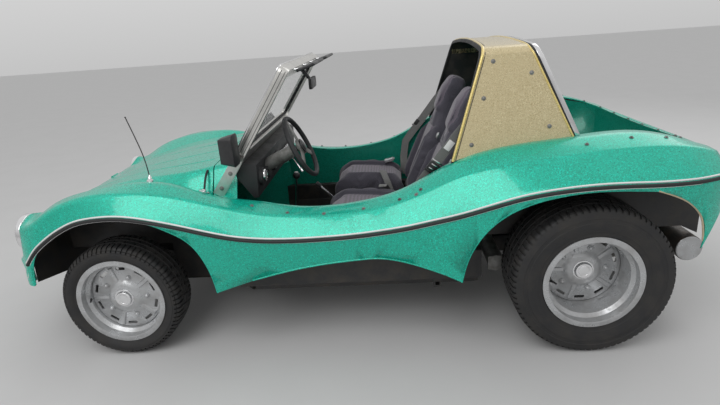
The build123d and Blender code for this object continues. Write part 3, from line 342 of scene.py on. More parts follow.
def from_above(tree, x, y):
    """The point and upward normal where the surface lies under x and y."""
    hit, normal = tree.ray_cast(Vector((x, y, 1.6)), Vector((0, 0, -1)))[:2]
    if hit is None:
        raise RuntimeError(f"nothing under x {x:.3f} y {y:.3f}")
    return hit, normal if normal.z > 0 else -normal


def offset_line(points, distance):
    """A line beside a line of x z points."""
    shifted = []
    for n, (x, z) in enumerate(points):
        a, b = points[max(n - 1, 0)], points[min(n + 1, len(points) - 1)]
        along = Vector((b[0] - a[0], b[1] - a[1])).normalized()
        shifted.append((x + along.y * distance, z - along.x * distance))
    return shifted


def turned(origin, normal):
    """The matrix that stands a piece made on +Z at the origin on a surface point."""
    return Matrix.Translation(origin) @ Vector(normal).to_track_quat("Z", "Y").to_matrix().to_4x4()


def moved(matrix, x=0.0, y=0.0, z=0.0):
    """The matrix shifted along its own axes."""
    return matrix @ Matrix.Translation((x, y, z))


def spun(matrix, degrees, axis):
    """The matrix turned about one of its own axes."""
    return matrix @ Matrix.Rotation(radians(degrees), 4, axis)


def placed(x, y, z, degrees, axis="Y"):
    """The matrix of a piece at a point of the car, turned about one axis."""
    return spun(Matrix.Translation((x, y, z)), degrees, axis)


def strand(name, points, radius, material, node):
    """A smooth bar or bead along points, made a mesh."""
    curve = bpy.data.curves.new(name, "CURVE")
    curve.dimensions = "3D"
    curve.bevel_depth, curve.bevel_resolution = radius, 4
    curve.resolution_u = 6
    curve.use_fill_caps = True
    spline = curve.splines.new("NURBS")
    spline.points.add(len(points) - 1)
    for target, point in zip(spline.points, points):
        target.co = (*point, 1.0)
    spline.order_u = 3
    spline.use_endpoint_u = True
    holder = bpy.data.objects.new(name + "_line", curve)
    bpy.context.scene.collection.objects.link(holder)
    bpy.context.view_layer.update()
    mesh = bpy.data.meshes.new_from_object(holder)
    bpy.data.objects.remove(holder)
    bm = bmesh.new()
    bm.from_mesh(mesh)
    bpy.data.meshes.remove(mesh)
    return finish_piece(name, bm, material, node, 60)


def verts_in(geometry):
    return [g for g in geometry if isinstance(g, bmesh.types.BMVert)]


def joined(seeds):
    """All points that edges join to the seeds."""
    reached = set(seeds)
    waiting = list(reached)
    while waiting:
        v = waiting.pop()
        for u in (e.other_vert(v) for e in v.link_edges):
            if u not in reached:
                reached.add(u)
                waiting.append(u)
    return list(reached)


def sharp_edges(verts, degrees):
    """The points' edges where two faces meet at more than an angle."""
    return [e for e in {e for v in verts for e in v.link_edges} if e.calc_face_angle(0) > radians(degrees)]


def dome(bm, matrix, radius, height, segments=20):
    """A low dome standing on a surface."""
    made = bmesh.ops.create_uvsphere(bm, u_segments=segments, v_segments=10, radius=radius)
    for v in made["verts"]:
        v.co.z = v.co.z * height / radius
    bmesh.ops.transform(bm, matrix=matrix, verts=made["verts"])


def disc(bm, matrix, radius, depth, segments=24, bevel=0.0, radius2=None):
    """A short round bar, or a cone where radius2 gives its upper end, that stands on the matrix's plane."""
    verts = bmesh.ops.create_cone(bm, cap_ends=True, segments=segments, radius1=radius,
                                  radius2=radius if radius2 is None else radius2, depth=depth)["verts"]
    bmesh.ops.translate(bm, vec=(0, 0, depth / 2), verts=verts)
    if bevel:
        verts = joined(ease(bm, sharp_edges(verts, 40), bevel)["verts"])
    bmesh.ops.transform(bm, matrix=matrix, verts=verts)


def bar(bm, start, end, radius, segments=16, bevel=0.0):
    """A round bar from one point to another."""
    start, end = Vector(start), Vector(end)
    disc(bm, turned(start, end - start), radius, (end - start).length, segments, bevel)


def block(bm, matrix, size, bevel, segments=2):
    """A box with eased edges, centred on the matrix."""
    verts = bmesh.ops.create_cube(bm, size=1.0)["verts"]
    bmesh.ops.scale(bm, vec=size, verts=verts)
    verts = ease(bm, {e for v in verts for e in v.link_edges}, bevel, segments)["verts"]
    bmesh.ops.transform(bm, matrix=matrix, verts=verts)


def lathe(bm, outline, matrix, steps=64):
    """Turns an outline of (radius, height) points about the matrix's Z axis."""
    verts = [bm.verts.new((r, 0, z)) for r, z in outline]
    edges = [bm.edges.new(pair) for pair in zip(verts, verts[1:])]
    made = bmesh.ops.spin(bm, geom=verts + edges, cent=(0, 0, 0), axis=(0, 0, 1), angle=2 * pi, steps=steps,
                          use_merge=True)
    ends = [v for v in verts + verts_in(made["geom_last"]) if v.is_valid]
    bmesh.ops.transform(bm, matrix=matrix, verts=joined(ends))


def plate(bm, outline, matrix, low, high, bevel=0.0, segments=2):
    """A plate of a flat outline between two heights, its edges eased; returns its points."""
    verts = [bm.verts.new((x, y, low)) for x, y in outline]
    upper = verts_in(bmesh.ops.extrude_face_region(bm, geom=[bm.faces.new(verts)])["geom"])
    bmesh.ops.translate(bm, vec=(0, 0, high - low), verts=upper)
    verts += upper
    bmesh.ops.recalc_face_normals(bm, faces=list({f for v in verts for f in v.link_faces}))
    if bevel:
        made = ease(bm, sharp_edges(verts, 30), bevel, segments, clamp=True)
        verts = list({v for v in verts if v.is_valid} | set(made["verts"]))
    bmesh.ops.transform(bm, matrix=matrix, verts=verts)
    return verts


def rounded(width, height, radius, middle=0.0):
    """The outline of a rectangle with round corners, its middle at a height."""
    points = []
    for n, (sx, sy) in enumerate(((1, 1), (-1, 1), (-1, -1), (1, -1))):
        cx, cy = sx * (width / 2 - radius), sy * (height / 2 - radius)
        for k in range(7):
            a = (n + k / 6) * pi / 2
            points.append((cx + radius * cos(a), middle + cy + radius * sin(a)))
    return points


def open_frame(bm, outer, inner, matrix, low, high, bevel):
    """A frame between two outlines with the same number of points, between two heights."""
    loops = []
    for outline in (outer, inner):
        verts = [bm.verts.new((x, y, low)) for x, y in outline]
        loops += [bm.edges.new(pair) for pair in zip(verts, verts[1:] + verts[:1])]
    faces = bmesh.ops.bridge_loops(bm, edges=loops)["faces"]
    upper = verts_in(bmesh.ops.extrude_face_region(bm, geom=faces)["geom"])
    bmesh.ops.translate(bm, vec=(0, 0, high - low), verts=upper)
    verts = list({v for f in faces for v in f.verts} | set(upper))
    made = ease(bm, sharp_edges(verts, 40), bevel, clamp=True)
    verts = list({v for v in verts if v.is_valid} | set(made["verts"]))
    bmesh.ops.transform(bm, matrix=matrix, verts=verts)


def strap(name, rows, node, replaces=False):
    """A flat strap through rows of a middle point and half its width across."""
    bm = bmesh.new()
    point, across = (Vector(v) for v in rows[0])
    pair = [bm.verts.new(point - across), bm.verts.new(point + across)]
    edge = bm.edges.new(pair)
    for point, across in rows[1:]:
        point, across = Vector(point), Vector(across)
        grown = verts_in(bmesh.ops.extrude_edge_only(bm, edges=[edge])["geom"])
        first = next(v for v in grown if any(e.other_vert(v) is pair[0] for e in v.link_edges))
        second = next(v for v in grown if v is not first)
        first.co, second.co = point - across, point + across
        pair = [first, second]
        edge = next(e for e in first.link_edges if e.other_vert(first) is second)
    bmesh.ops.subdivide_edges(bm, edges=bm.edges, cuts=2, smooth=0.6, use_grid_fill=True)
    bmesh.ops.recalc_face_normals(bm, faces=bm.faces)
    bmesh.ops.solidify(bm, geom=bm.faces, thickness=BELT_THICKNESS)
    return finish_piece(name, bm, "belt_webbing", node, 40, replaces=replaces)


# Lines on the moulding, as x z points in metres from the nose to the tail
TRIM_LINE = [(1.470, 0.430), (1.435, 0.497), (1.390, 0.552), (1.330, 0.600), (1.250, 0.650), (1.150, 0.695),
             (1.050, 0.713), (0.950, 0.719), (0.860, 0.708), (0.760, 0.684), (0.680, 0.661), (0.590, 0.632),
             (0.510, 0.608), (0.430, 0.589), (0.320, 0.574), (0.200, 0.568), (0.070, 0.569), (-0.060, 0.576),
             (-0.170, 0.588), (-0.290, 0.606), (-0.390, 0.629), (-0.500, 0.656), (-0.620, 0.698), (-0.740, 0.740),
             (-0.870, 0.765), (-1.000, 0.777), (-1.120, 0.778), (-1.250, 0.772), (-1.350, 0.770), (-1.430, 0.768),
             (-1.520, 0.767)]
TRIM_FRONT = 1.46
FRONT_ARCH = [(1.424, 0.392), (1.414, 0.480), (1.372, 0.556), (1.300, 0.614), (1.200, 0.668), (1.080, 0.700),
              (0.948, 0.706), (0.820, 0.688), (0.731, 0.643), (0.662, 0.596), (0.622, 0.536), (0.598, 0.470),
              (0.582, 0.400), (0.576, 0.322)]
SKIRT = [(0.406, 0.373), (0.242, 0.412), (0.080, 0.438), (-0.080, 0.456), (-0.160, 0.462), (-0.240, 0.452),
         (-0.350, 0.420), (-0.440, 0.386)]
REAR_ARCH = [(-0.512, 0.352), (-0.524, 0.420), (-0.556, 0.505), (-0.610, 0.592), (-0.690, 0.668), (-0.800, 0.722),
             (-0.940, 0.752), (-1.078, 0.758), (-1.236, 0.744), (-1.330, 0.710), (-1.405, 0.655), (-1.455, 0.585),
             (-1.466, 0.500)]
# The wheels at each end: the axle's x, the rim's outer face in y, and how far the steel disc lies inside that face
AXLE_X = {"front": 1.050, "rear": -1.050}
RIM_FACE_Y = {"front": 0.700, "rear": 0.800}
DISC_INSET = {"front": 0.062, "rear": 0.150}
RIM_WIDTH = {"front": 0.160, "rear": 0.240}
TYRE_R = {"front": 0.280, "rear": 0.335}
TYRE_WIDTH = {"front": 0.185, "rear": 0.262}
TYRE_RIBS = {"front": 4, "rear": 5}
RIM_RADIUS = 0.2085
BEAD_RADIUS = 0.1905
FLANGE_WALL = 0.0053
SHOULDER = 0.030
CROWN_DROP = 0.0022
NOTCH_DEPTH = 0.0055
LAMP_CENTRE = (1.4735, 0.566, 0.600)
LUG_CIRCLE = 0.1025
HUB_CAP = [(0.0001, 0.0365), (0.022, 0.0362), (0.0235, 0.0375), (0.0305, 0.0385), (0.0345, 0.0375), (0.0370, 0.0345),
           (0.0385, 0.0285), (0.0395, 0.0262), (0.0440, 0.0258), (0.0445, 0.0235)]
REFLECTOR = [(0.0001, 0.0005), (0.020, 0.0008), (0.045, 0.0030), (0.062, 0.0075), (0.070, 0.0125)]
# Nodes that keep their own form, with the width of their eased edges
PLAIN_NODES = {"hoop_seals": 0.002, "hoop_chrome": 0.001, "rear_window": 0.0, "inner_mirror": 0.003,
               "door_mirror": 0.008, "lamp_bezels": 0.004, "headlamp_lenses": 0.0, "front_indicators": 0.002,
               "tail_lamps": 0.003, "seat_runners": 0.003, "pedals": 0.002, "fuel_tank": 0.006, "floorpan": 0.003,
               "side_sills": 0.003, "front_beam": 0.002, "knuckle_left": 0.003, "knuckle_right": 0.003,
               "rear_axle": 0.003, "gearbox": 0.008, "engine": 0.006}


class BuggySizes(bpy.types.PropertyGroup):
    """Sizes and colours of the buggy's dressing"""
    green: bpy.props.FloatVectorProperty(name="Body green", description="Main colour of the flake paint",
                                         subtype="COLOR", size=3, default=(0.0, 0.46, 0.32), min=0, max=1)
    gold: bpy.props.FloatVectorProperty(name="Hoop gold", description="Main colour of the roof hoop",
                                        subtype="COLOR", size=3, default=(0.60, 0.50, 0.29), min=0, max=1)
    trim_radius: bpy.props.FloatProperty(name="Trim radius", description="Radius of the black trim bead",
                                         default=0.0075, unit="LENGTH")
    lip_radius: bpy.props.FloatProperty(name="Lip radius", description="Radius of the rolled edge of the arches",
                                        default=0.004, unit="LENGTH")
    tread_blocks: bpy.props.IntProperty(name="Tread blocks", description="Tread blocks round a tyre", default=72,
                                        min=24, max=120)
    groove_depth: bpy.props.FloatProperty(name="Groove depth", description="Depth of the tyre grooves",
                                          default=0.006, unit="LENGTH")
    swell: bpy.props.FloatProperty(name="Cushion swell", description="How far a cushion's cloth may move",
                                   default=0.022, unit="LENGTH")


def sizes():
    """The scene's sizes and colours of the dressing."""
    return bpy.context.scene.buggy_sizes


class PieceOperator:
    """What all the piece operators share"""
    bl_options = {"REGISTER", "UNDO"}


# The camera's place, its heading, dip and lean in degrees, and the lamps' name, place, size and power
CAMERA_PLACE = (-0.239, 2.731, 1.409)
CAMERA_TURN = (4.03, 18.97, -4.24)
LAMP_TARGET = Vector((0, 0, 0.5))
LAMPS = (("key", (1.5, 3.5, 4.5), 3.5, 95), ("fill", (-3.5, -2.5, 4.0), 4.0, 45))


class BUGGY_OT_stage(PieceOperator, bpy.types.Operator):
    """Adds the floor, the lights, the world and the camera"""
    bl_idname = "buggy.stage"
    bl_label = "Stage"

    def execute(self, context):
        scene = context.scene
        scene.view_settings.view_transform = "Standard"
        bm = bmesh.new()
        bmesh.ops.create_grid(bm, x_segments=1, y_segments=1, size=30)
        mesh = bpy.data.meshes.new("floor")
        bm.to_mesh(mesh)
        bm.free()
        floor = bpy.data.objects.new("floor", mesh)
        scene.collection.objects.link(floor)
        tree, shader = start_material("floor_grey", Roughness=0.85)
        shade = add_node(tree, "ShaderNodeTexNoise", {"Vector": object_point(tree)}, Scale=3.0, Detail=4.0)
        feed(tree, shader, {"Base Color": remap(tree, shade.outputs["Fac"], 0.56, 0.6)})
        mesh.materials.append(MATERIALS["floor_grey"])
        scene.world = bpy.data.worlds.new("studio")
        scene.world.use_nodes = True
        tree = scene.world.node_tree
        point = tree.nodes.new("ShaderNodeTexCoord").outputs["Generated"]
        height = add_node(tree, "ShaderNodeSeparateXYZ", {0: point}).outputs["Z"]
        seen = tree.nodes.new("ShaderNodeLightPath").outputs["Is Camera Ray"]
        feed(tree, tree.nodes["Background"], {"Color": remap(tree, height, 0.5, 0.95, -0.1, 0.5),
                                              "Strength": remap(tree, seen, 0.75, 1.0)})
        for name, place, size, power in LAMPS:
            lamp = bpy.data.lights.new(name, "AREA")
            lamp.size, lamp.energy = size, power
            holder = bpy.data.objects.new(name, lamp)
            scene.collection.objects.link(holder)
            holder.location = place
            holder.rotation_euler = (LAMP_TARGET - Vector(place)).to_track_quat("-Z", "Y").to_euler()
        camera = bpy.data.cameras.new("camera")
        camera.lens, camera.sensor_width = 25.5, 36
        camera.clip_start, camera.clip_end = 0.05, 100
        holder = bpy.data.objects.new("camera", camera)
        scene.collection.objects.link(holder)
        heading, dip, lean = (radians(angle) for angle in CAMERA_TURN)
        turn = Matrix.Rotation(heading, 3, "Z")
        ahead, right, up = turn @ Vector((0, -1, 0)), turn @ Vector((-1, 0, 0)), Vector((0, 0, 1))
        forward = ahead * cos(dip) - up * sin(dip)
        level = up * cos(dip) + ahead * sin(dip)
        across = right * cos(lean) + level * sin(lean)
        above = level * cos(lean) - right * sin(lean)
        facing = Matrix((across, above, -forward)).transposed().to_4x4()
        holder.matrix_world = Matrix.Translation(CAMERA_PLACE) @ facing
        scene.camera = holder
        return {"FINISHED"}


def hidden_side(centre, normal):
    """The moulding's underside and the inner faces of its skirts are black."""
    inward = normal.dot(Vector((0, -centre.y, 0.45 - centre.z)).normalized())
    return int(inward > 0.15 and (normal.z < -0.25 or centre.z < 0.62))


def arch_side(centre, normal):
    """The inner walls are black where they face a wheel arch or the ground."""
    outward = normal.y * (1 if centre.y > 0 else -1)
    return int(outward > 0.3 or normal.z < -0.5 or centre.x > 1.3)


def pipe_end(centre, normal):
    """The exhaust's cap on the left is bare metal."""
    return int(normal.y > 0.7 and centre.y > 0.55)


class BUGGY_OT_moulding(PieceOperator, bpy.types.Operator):
    """Dresses the flake moulding, its lid, inner walls, trim beads and rolled edges"""
    bl_idname = "buggy.moulding"
    bl_label = "Moulding"

    def execute(self, context):
        face_materials(dressed("body_tub", angle=50), "chassis_black", hidden_side)
        dressed("front_lid", angle=50)
        # The inner tub takes the darker green, which is painted shade.
        face_materials(dressed("inner_tub", "inner_green"), "chassis_black", arch_side)
        shell = tree_of("body_tub")
        bead, lip = sizes().trim_radius, sizes().lip_radius
        for side, name in SIDES:
            for label, shift, radius, material in (("black", -0.006, bead, "black_rubber"),
                                                   ("white", 0.006, bead * 0.55, "white_trim"),
                                                   ("pinline", -0.0135, bead * 0.22, "white_trim")):
                points = [on_side(shell, x, z, side, radius * 0.3)[0] for x, z in offset_line(TRIM_LINE, shift)
                          if x < TRIM_FRONT]
                strand(f"trim_{label}_{name}", points, radius, material, "hoop_seals")
            for label, line, material in (("arch_lip_front", FRONT_ARCH, "green_flake"),
                                          ("skirt_lip", SKIRT, "green_flake"),
                                          ("arch_lip_rear", REAR_ARCH[:9], "green_flake"),
                                          ("raw_lip_rear", REAR_ARCH[8:], "raw_edge")):
                beside = [on_side(shell, x, z, side, -lip * 0.8)[0] for x, z in offset_line(line, 0.008)]
                points = [Vector((x, p.y, z)) for p, (x, z) in zip(beside, offset_line(line, lip * 0.5))]
                strand(f"{label}_{name}", points, lip, material, "body_tub")
        return {"FINISHED"}


class BUGGY_OT_plain_nodes(PieceOperator, bpy.types.Operator):
    """Dresses the nodes that keep their own form with eased edges and their finishes"""
    bl_idname = "buggy.plain_nodes"
    bl_label = "Plain nodes"

    def execute(self, context):
        for node, bevel in PLAIN_NODES.items():
            dressed(node, bevel=bevel)
        face_materials(dressed("exhaust", "sooty_steel", bevel=0.002), "rim_silver", pipe_end)
        x, y, z = LAMP_CENTRE
        for side, label in SIDES:
            spot = turned((x, side * y, z), (1, 0, 0))
            bm = bmesh.new()
            lathe(bm, REFLECTOR, spot, 48)
            finish_piece(f"lamp_reflector_{label}", bm, "chrome", "lamp_bezels")
            bm = bmesh.new()
            dome(bm, moved(spot, z=0.004), 0.013, 0.009, 24)
            finish_piece(f"lamp_bulb_{label}", bm, "dial_white", "lamp_bezels")
        return {"FINISHED"}


def wheel_matrix(end, side, inward=0.0):
    """Stands a piece made on +Z on a wheel's face, inward metres inside its flange, facing out."""
    return placed(AXLE_X[end], side * (RIM_FACE_Y[end] - inward), TYRE_R[end], -90 * side, "X")


def tyre_outline(end):
    """The tyre's section as radius and height points, the outer sidewall at plus height."""
    r, half, groove = TYRE_R[end], TYRE_WIDTH[end] / 2, sizes().groove_depth
    bead, rim = RIM_WIDTH[end] / 2 - FLANGE_WALL, RIM_RADIUS
    wall = r - rim
    side = [(BEAD_RADIUS, bead), (rim + 0.001, bead), (rim + 0.004, bead + 0.003)]
    side += [(rim + wall * share, half - inset) for share, inset in (
        (0.16, 0.012), (0.20, 0.0085), (0.215, 0.0085), (0.26, 0.006), (0.42, 0.001), (0.52, 0.0005), (0.54, 0.0022),
        (0.64, 0.0025), (0.66, 0.001), (0.76, 0.004))]
    side += [(r - 0.016, half - 0.0095), (r - 0.009, half - 0.0135), (r - 0.004, half - 0.021),
             (r - CROWN_DROP, half - SHOULDER)]
    edge = half - SHOULDER
    pitch = 2 * edge / TYRE_RIBS[end]
    crown = []
    for n in range(1, TYRE_RIBS[end]):
        y = edge - n * pitch
        top = r - CROWN_DROP * (abs(y) / edge) ** 2
        crown += [(top, y + 0.004), (top - groove, y + 0.003), (top - groove, y - 0.003), (top, y - 0.004)]
    return side + crown + [(a, -b) for a, b in reversed(side)] + [(BEAD_RADIUS, bead)]


def make_tyre(end, side, label):
    """A tyre with grooves round it and notches that part its ribs into blocks."""
    bm = bmesh.new()
    steps = 3 * (sizes().tread_blocks + (0 if end == "front" else 6))
    lathe(bm, tyre_outline(end), Matrix.Identity(4), steps)
    bmesh.ops.remove_doubles(bm, verts=bm.verts, dist=MERGE_DISTANCE)
    r, half = TYRE_R[end], TYRE_WIDTH[end] / 2
    edge = half - SHOULDER
    pitch = 2 * edge / TYRE_RIBS[end]
    notches = []
    for face in bm.faces:
        c = face.calc_center_median()
        seg = int((c.xy.angle_signed(Vector((1, 0))) % (2 * pi)) / (2 * pi) * steps + 0.001)
        radius, height = c.xy.length, abs(c.z)
        shoulder = r - 0.022 < radius and height > edge - pitch + 0.006
        middle = radius > r - 0.003 and height < edge - pitch
        if shoulder and seg % 3 == 0 or middle and (seg + (1 if c.z > 0 else 2)) % 6 == 0:
            notches.append(face)
    for v in verts_in(bmesh.ops.extrude_face_region(bm, geom=notches)["geom"]):
        radius = v.co.xy.length
        scale = (radius - NOTCH_DEPTH) / radius
        v.co.x *= scale
        v.co.y *= scale
        v.co.z *= 1 - 0.0035 / half if abs(v.co.z) > edge else 1
    bmesh.ops.delete(bm, geom=[f for f in notches if f.is_valid], context="FACES_ONLY")
    bmesh.ops.transform(bm, matrix=wheel_matrix(end, side, RIM_WIDTH[end] / 2), verts=bm.verts)
    node = f"{end}_tyre_{label}"
    finish_piece(node + "_tread", bm, "tyre_rubber", node, 32, replaces=True)


def make_wheel_fittings(end, side, label):
    """Dresses a rim and adds its lug nuts, hub cap and valve."""
    node, face = f"{end}_rim_{label}", DISC_INSET[end]
    dressed(node, bevel=0.0015, angle=40)
    bm = bmesh.new()
    for n in range(5):
        angle = radians(36 + 72 * n)
        base = moved(wheel_matrix(end, side, face - 0.005), LUG_CIRCLE * cos(angle), LUG_CIRCLE * sin(angle))
        disc(bm, base, 0.0125, 0.006, 24, 0.001)
        dome(bm, moved(base, z=0.005), 0.0105, 0.009)
    finish_piece(f"{end}_lugs_{label}", bm, "rim_silver", node)
    bm = bmesh.new()
    lathe(bm, HUB_CAP, wheel_matrix(end, side, face))
    finish_piece(f"{end}_hub_cap_{label}", bm, "chrome", node)
    bm = bmesh.new()
    spot = spun(moved(wheel_matrix(end, side, 0.040), 0.164), -25, "Y")
    disc(bm, spot, 0.0055, 0.02, 16, 0.0008, 0.0042)
    disc(bm, moved(spot, z=0.02), 0.0038, 0.012, 16, 0.0006)
    finish_piece(f"{end}_valve_{label}", bm, "black_rubber", node)


class BUGGY_OT_wheels(PieceOperator, bpy.types.Operator):
    """Adds the treaded tyres and dresses the rims with lug nuts, hub caps and valves"""
    bl_idname = "buggy.wheels"
    bl_label = "Wheels"

    def execute(self, context):
        for end in ("front", "rear"):
            for side, label in SIDES:
                make_tyre(end, side, label)
                make_wheel_fittings(end, side, label)
        return {"FINISHED"}


# Seats: the local axes are across the seat, up its back, and out of its front
SEAT_Y = 0.300
BACK_LEAN = radians(22)
BACK_FOOT = Vector((-0.308, SEAT_Y, 0.446))
BACK_OUTLINE = [(-0.190, 0.014), (0.190, 0.014), (0.193, 0.200), (0.184, 0.370), (0.150, 0.455), (0.112, 0.520),
                (0.098, 0.600), (0.092, 0.700), (0.066, 0.748), (-0.066, 0.748), (-0.092, 0.700), (-0.098, 0.600),
                (-0.112, 0.520), (-0.150, 0.455), (-0.184, 0.370), (-0.193, 0.200)]
BOLSTER = [(0.108, 0.022), (0.196, 0.022), (0.200, 0.200), (0.188, 0.360), (0.152, 0.450), (0.128, 0.455),
           (0.112, 0.330)]
HEAD_PANEL = [(0.0, 0.455), (0.040, 0.500), (0.064, 0.560), (0.068, 0.690), (0.050, 0.728), (0.0, 0.738)]
CUSHION_SIDE = [(-0.300, 0.452), (0.085, 0.452), (0.112, 0.476), (0.112, 0.545), (0.070, 0.568), (-0.120, 0.552),
                (-0.318, 0.532)]
THIGH_BOLSTER = [(-0.300, 0.456), (0.080, 0.456), (0.104, 0.480), (0.100, 0.560), (0.040, 0.584), (-0.120, 0.580),
                 (-0.300, 0.556)]
BACK_PANEL_HALF, BACK_PANEL_FOOT, BACK_PANEL_TOP, NECK = 0.104, 0.030, 0.430, 0.455
CUSHION_PANEL_HALF, CUSHION_SEAM_X = 0.112, -0.175
SEAM_WIDTH, SEAM_DEPTH = 0.009, 0.0045
VOXEL = 0.008
# Stands an outline of x z points upright, its height along the car's -Y
UPRIGHT = Matrix(((1, 0, 0), (0, 0, -1), (0, 1, 0))).to_4x4()


def mesh_of(holder):
    """The object's mesh as its modifiers leave it."""
    bpy.context.view_layer.update()
    return bpy.data.meshes.new_from_object(holder.evaluated_get(bpy.context.evaluated_depsgraph_get()))


def puffed(bm):
    """Joins the shapes of a pad, swells its cover with cloth, and returns the smooth mesh."""
    mesh = bpy.data.meshes.new("pad")
    bm.to_mesh(mesh)
    bm.free()
    holder = bpy.data.objects.new("pad", mesh)
    bpy.context.scene.collection.objects.link(holder)
    remesh = holder.modifiers.new("remesh", "REMESH")
    remesh.mode, remesh.voxel_size = "VOXEL", VOXEL
    base = mesh_of(holder)
    holder.modifiers.clear()
    holder.data = base
    bm = bmesh.new()
    bm.from_mesh(base)
    for n in range(3):
        bmesh.ops.smooth_vert(bm, verts=bm.verts, factor=0.5, use_axis_x=True, use_axis_y=True, use_axis_z=True)
    bm.to_mesh(base)
    bm.free()
    cloth = holder.modifiers.new("cloth", "CLOTH")
    cloth.settings.use_pressure = True
    cloth.settings.uniform_pressure_force = 4.0
    cloth.settings.effector_weights.gravity = 0.0
    cloth.point_cache.frame_start, cloth.point_cache.frame_end = 1, 20
    for frame_number in range(1, 21):
        bpy.context.scene.frame_set(frame_number)
    swollen = mesh_of(holder)
    holder.modifiers.clear()
    cap = sizes().swell
    for v, grown in zip(base.vertices, swollen.vertices):
        shift = grown.co - v.co
        v.co += shift * min(1.0, cap / max(shift.length, 0.00001))
    bpy.data.meshes.remove(swollen)
    bpy.context.scene.frame_set(1)
    smoother = holder.modifiers.new("smooth", "SUBSURF")
    smoother.levels = smoother.render_levels = 1
    made = mesh_of(holder)
    bpy.data.objects.remove(holder)
    return made


def sewn(mesh, nearest_seam):
    """Presses seams into the pad's upper side, where nearest_seam gives a point's distance to one."""
    normals = [v.normal.copy() for v in mesh.vertices]
    for v, normal in zip(mesh.vertices, normals):
        distance = nearest_seam(v.co)
        if normal.z > 0.1 and distance < SEAM_WIDTH:
            v.co -= normal * (SEAM_DEPTH * (1 - (distance / SEAM_WIDTH) ** 2))


def head_half(v):
    """Half the width of the headrest's panel at a height up the back."""
    for (wa, va), (wb, vb) in zip(HEAD_PANEL, HEAD_PANEL[1:]):
        if va <= v <= vb:
            return wa + (wb - wa) * (v - va) / (vb - va)
    return 0.0


def back_seam(p):
    """The distance from a point of the back to the line round one of its panels."""
    lines = [1.0]
    if BACK_PANEL_FOOT < p.y < BACK_PANEL_TOP:
        lines.append(abs(abs(p.x) - BACK_PANEL_HALF))
    if p.y > NECK:
        lines.append(abs(abs(p.x) - head_half(p.y)))
    if abs(p.x) < 0.11:
        lines.append(abs(p.y - BACK_PANEL_TOP - 0.002))
    return min(lines)


def back_panel(p, normal):
    """Whether a face of the back has the panel's fabric."""
    if normal.z < 0.25:
        return 0
    if p.y > NECK:
        return int(abs(p.x) < head_half(p.y))
    return int(abs(p.x) < BACK_PANEL_HALF and BACK_PANEL_FOOT < p.y < BACK_PANEL_TOP)


def cushion_seam(p):
    """The distance from a point of the cushion to the lines beside and across its panel."""
    side = abs(abs(p.y) - CUSHION_PANEL_HALF)
    return min(side, abs(p.x - CUSHION_SEAM_X)) if abs(p.y) < CUSHION_PANEL_HALF else side


def cushion_panel(p, normal):
    """Whether a face of the cushion has the panel's fabric."""
    return int(normal.z > 0.2 and abs(p.y) < CUSHION_PANEL_HALF)


def pad_piece(name, mesh, matrix, flip, node, panel):
    """A finished pad: placed, mirrored for the right seat, with its panels in two fabrics."""
    bm = bmesh.new()
    bm.from_mesh(mesh)
    bmesh.ops.transform(bm, matrix=matrix, verts=bm.verts)
    if flip:
        bmesh.ops.scale(bm, vec=(1, -1, 1), verts=bm.verts)
    piece = finish_piece(name, bm, "seat_fabric", node, 60)
    back, sign = matrix.inverted(), -1 if flip else 1

    def choose(centre, normal):
        centre, normal = Vector((centre.x, sign * centre.y, centre.z)), Vector((normal.x, sign * normal.y, normal.z))
        return panel(back @ centre, back.to_3x3() @ normal)
    face_materials(piece, "seat_panel", choose)
    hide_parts(node)


class BUGGY_OT_seats(PieceOperator, bpy.types.Operator):
    """Models the two bucket seats as padded cloth with bolsters, panels, seams and levers"""
    bl_idname = "buggy.seats"
    bl_label = "Seats"

    def execute(self, context):
        flat = Matrix.Identity(4)
        lean = Matrix(((0, -sin(BACK_LEAN), cos(BACK_LEAN)), (1, 0, 0), (0, cos(BACK_LEAN), sin(BACK_LEAN))))
        matrix = Matrix.Translation(BACK_FOOT) @ lean.to_4x4()
        bm = bmesh.new()
        plate(bm, BACK_OUTLINE, flat, -0.104, -0.030, 0.018, 3)
        plate(bm, [(x * 0.97, y) for x, y in BACK_OUTLINE if y > 0.5], flat, -0.108, -0.016, 0.026, 4)
        for outline in (BOLSTER, [(-x, y) for x, y in reversed(BOLSTER)]):
            for v in plate(bm, outline, flat, -0.100, 0.006, 0.026, 4):
                if v.co.z > -0.05:
                    v.co.z -= 0.030 * max(0.0, (v.co.y - 0.26) / 0.2) ** 1.5
        back = puffed(bm)
        sewn(back, back_seam)
        bm = bmesh.new()
        plate(bm, CUSHION_SIDE, UPRIGHT, -0.192, 0.192, 0.018, 3)
        for low, high in ((0.118, 0.196), (-0.196, -0.118)):
            plate(bm, THIGH_BOLSTER, UPRIGHT, low, high, 0.026, 4)
        cushion = puffed(bm)
        sewn(cushion, cushion_seam)
        place = Matrix.Translation((0, SEAT_Y, 0))
        for side, label in SIDES:
            pad_piece(f"seat_back_{label}", back, matrix, side < 0, "seat_backs", back_panel)
            pad_piece(f"seat_cushion_{label}", cushion, place, side < 0, "seat_cushions", cushion_panel)
        for side, label in SIDES:
            bm = bmesh.new()
            for w in (-1, 1):
                spot = spun(moved(matrix, w * 0.196, 0.405, -0.045), w * 90, "Y")
                dome(bm, spot @ Matrix.Diagonal((1.0, 2.2, 1.0, 1.0)), 0.009, 0.012)
                hinge = spun(moved(matrix, w * 0.202, -0.020, -0.050), w * 90, "Y")
                disc(bm, hinge, 0.030, 0.008, 32, 0.002)
                block(bm, moved(hinge, 0, 0.05, 0.003), (0.034, 0.11, 0.005), 0.002)
            bmesh.ops.scale(bm, vec=(1, side, 1), verts=bm.verts)
            finish_piece(f"seat_levers_{label}", bm, "rim_silver", "seat_runners")
        return {"FINISHED"}


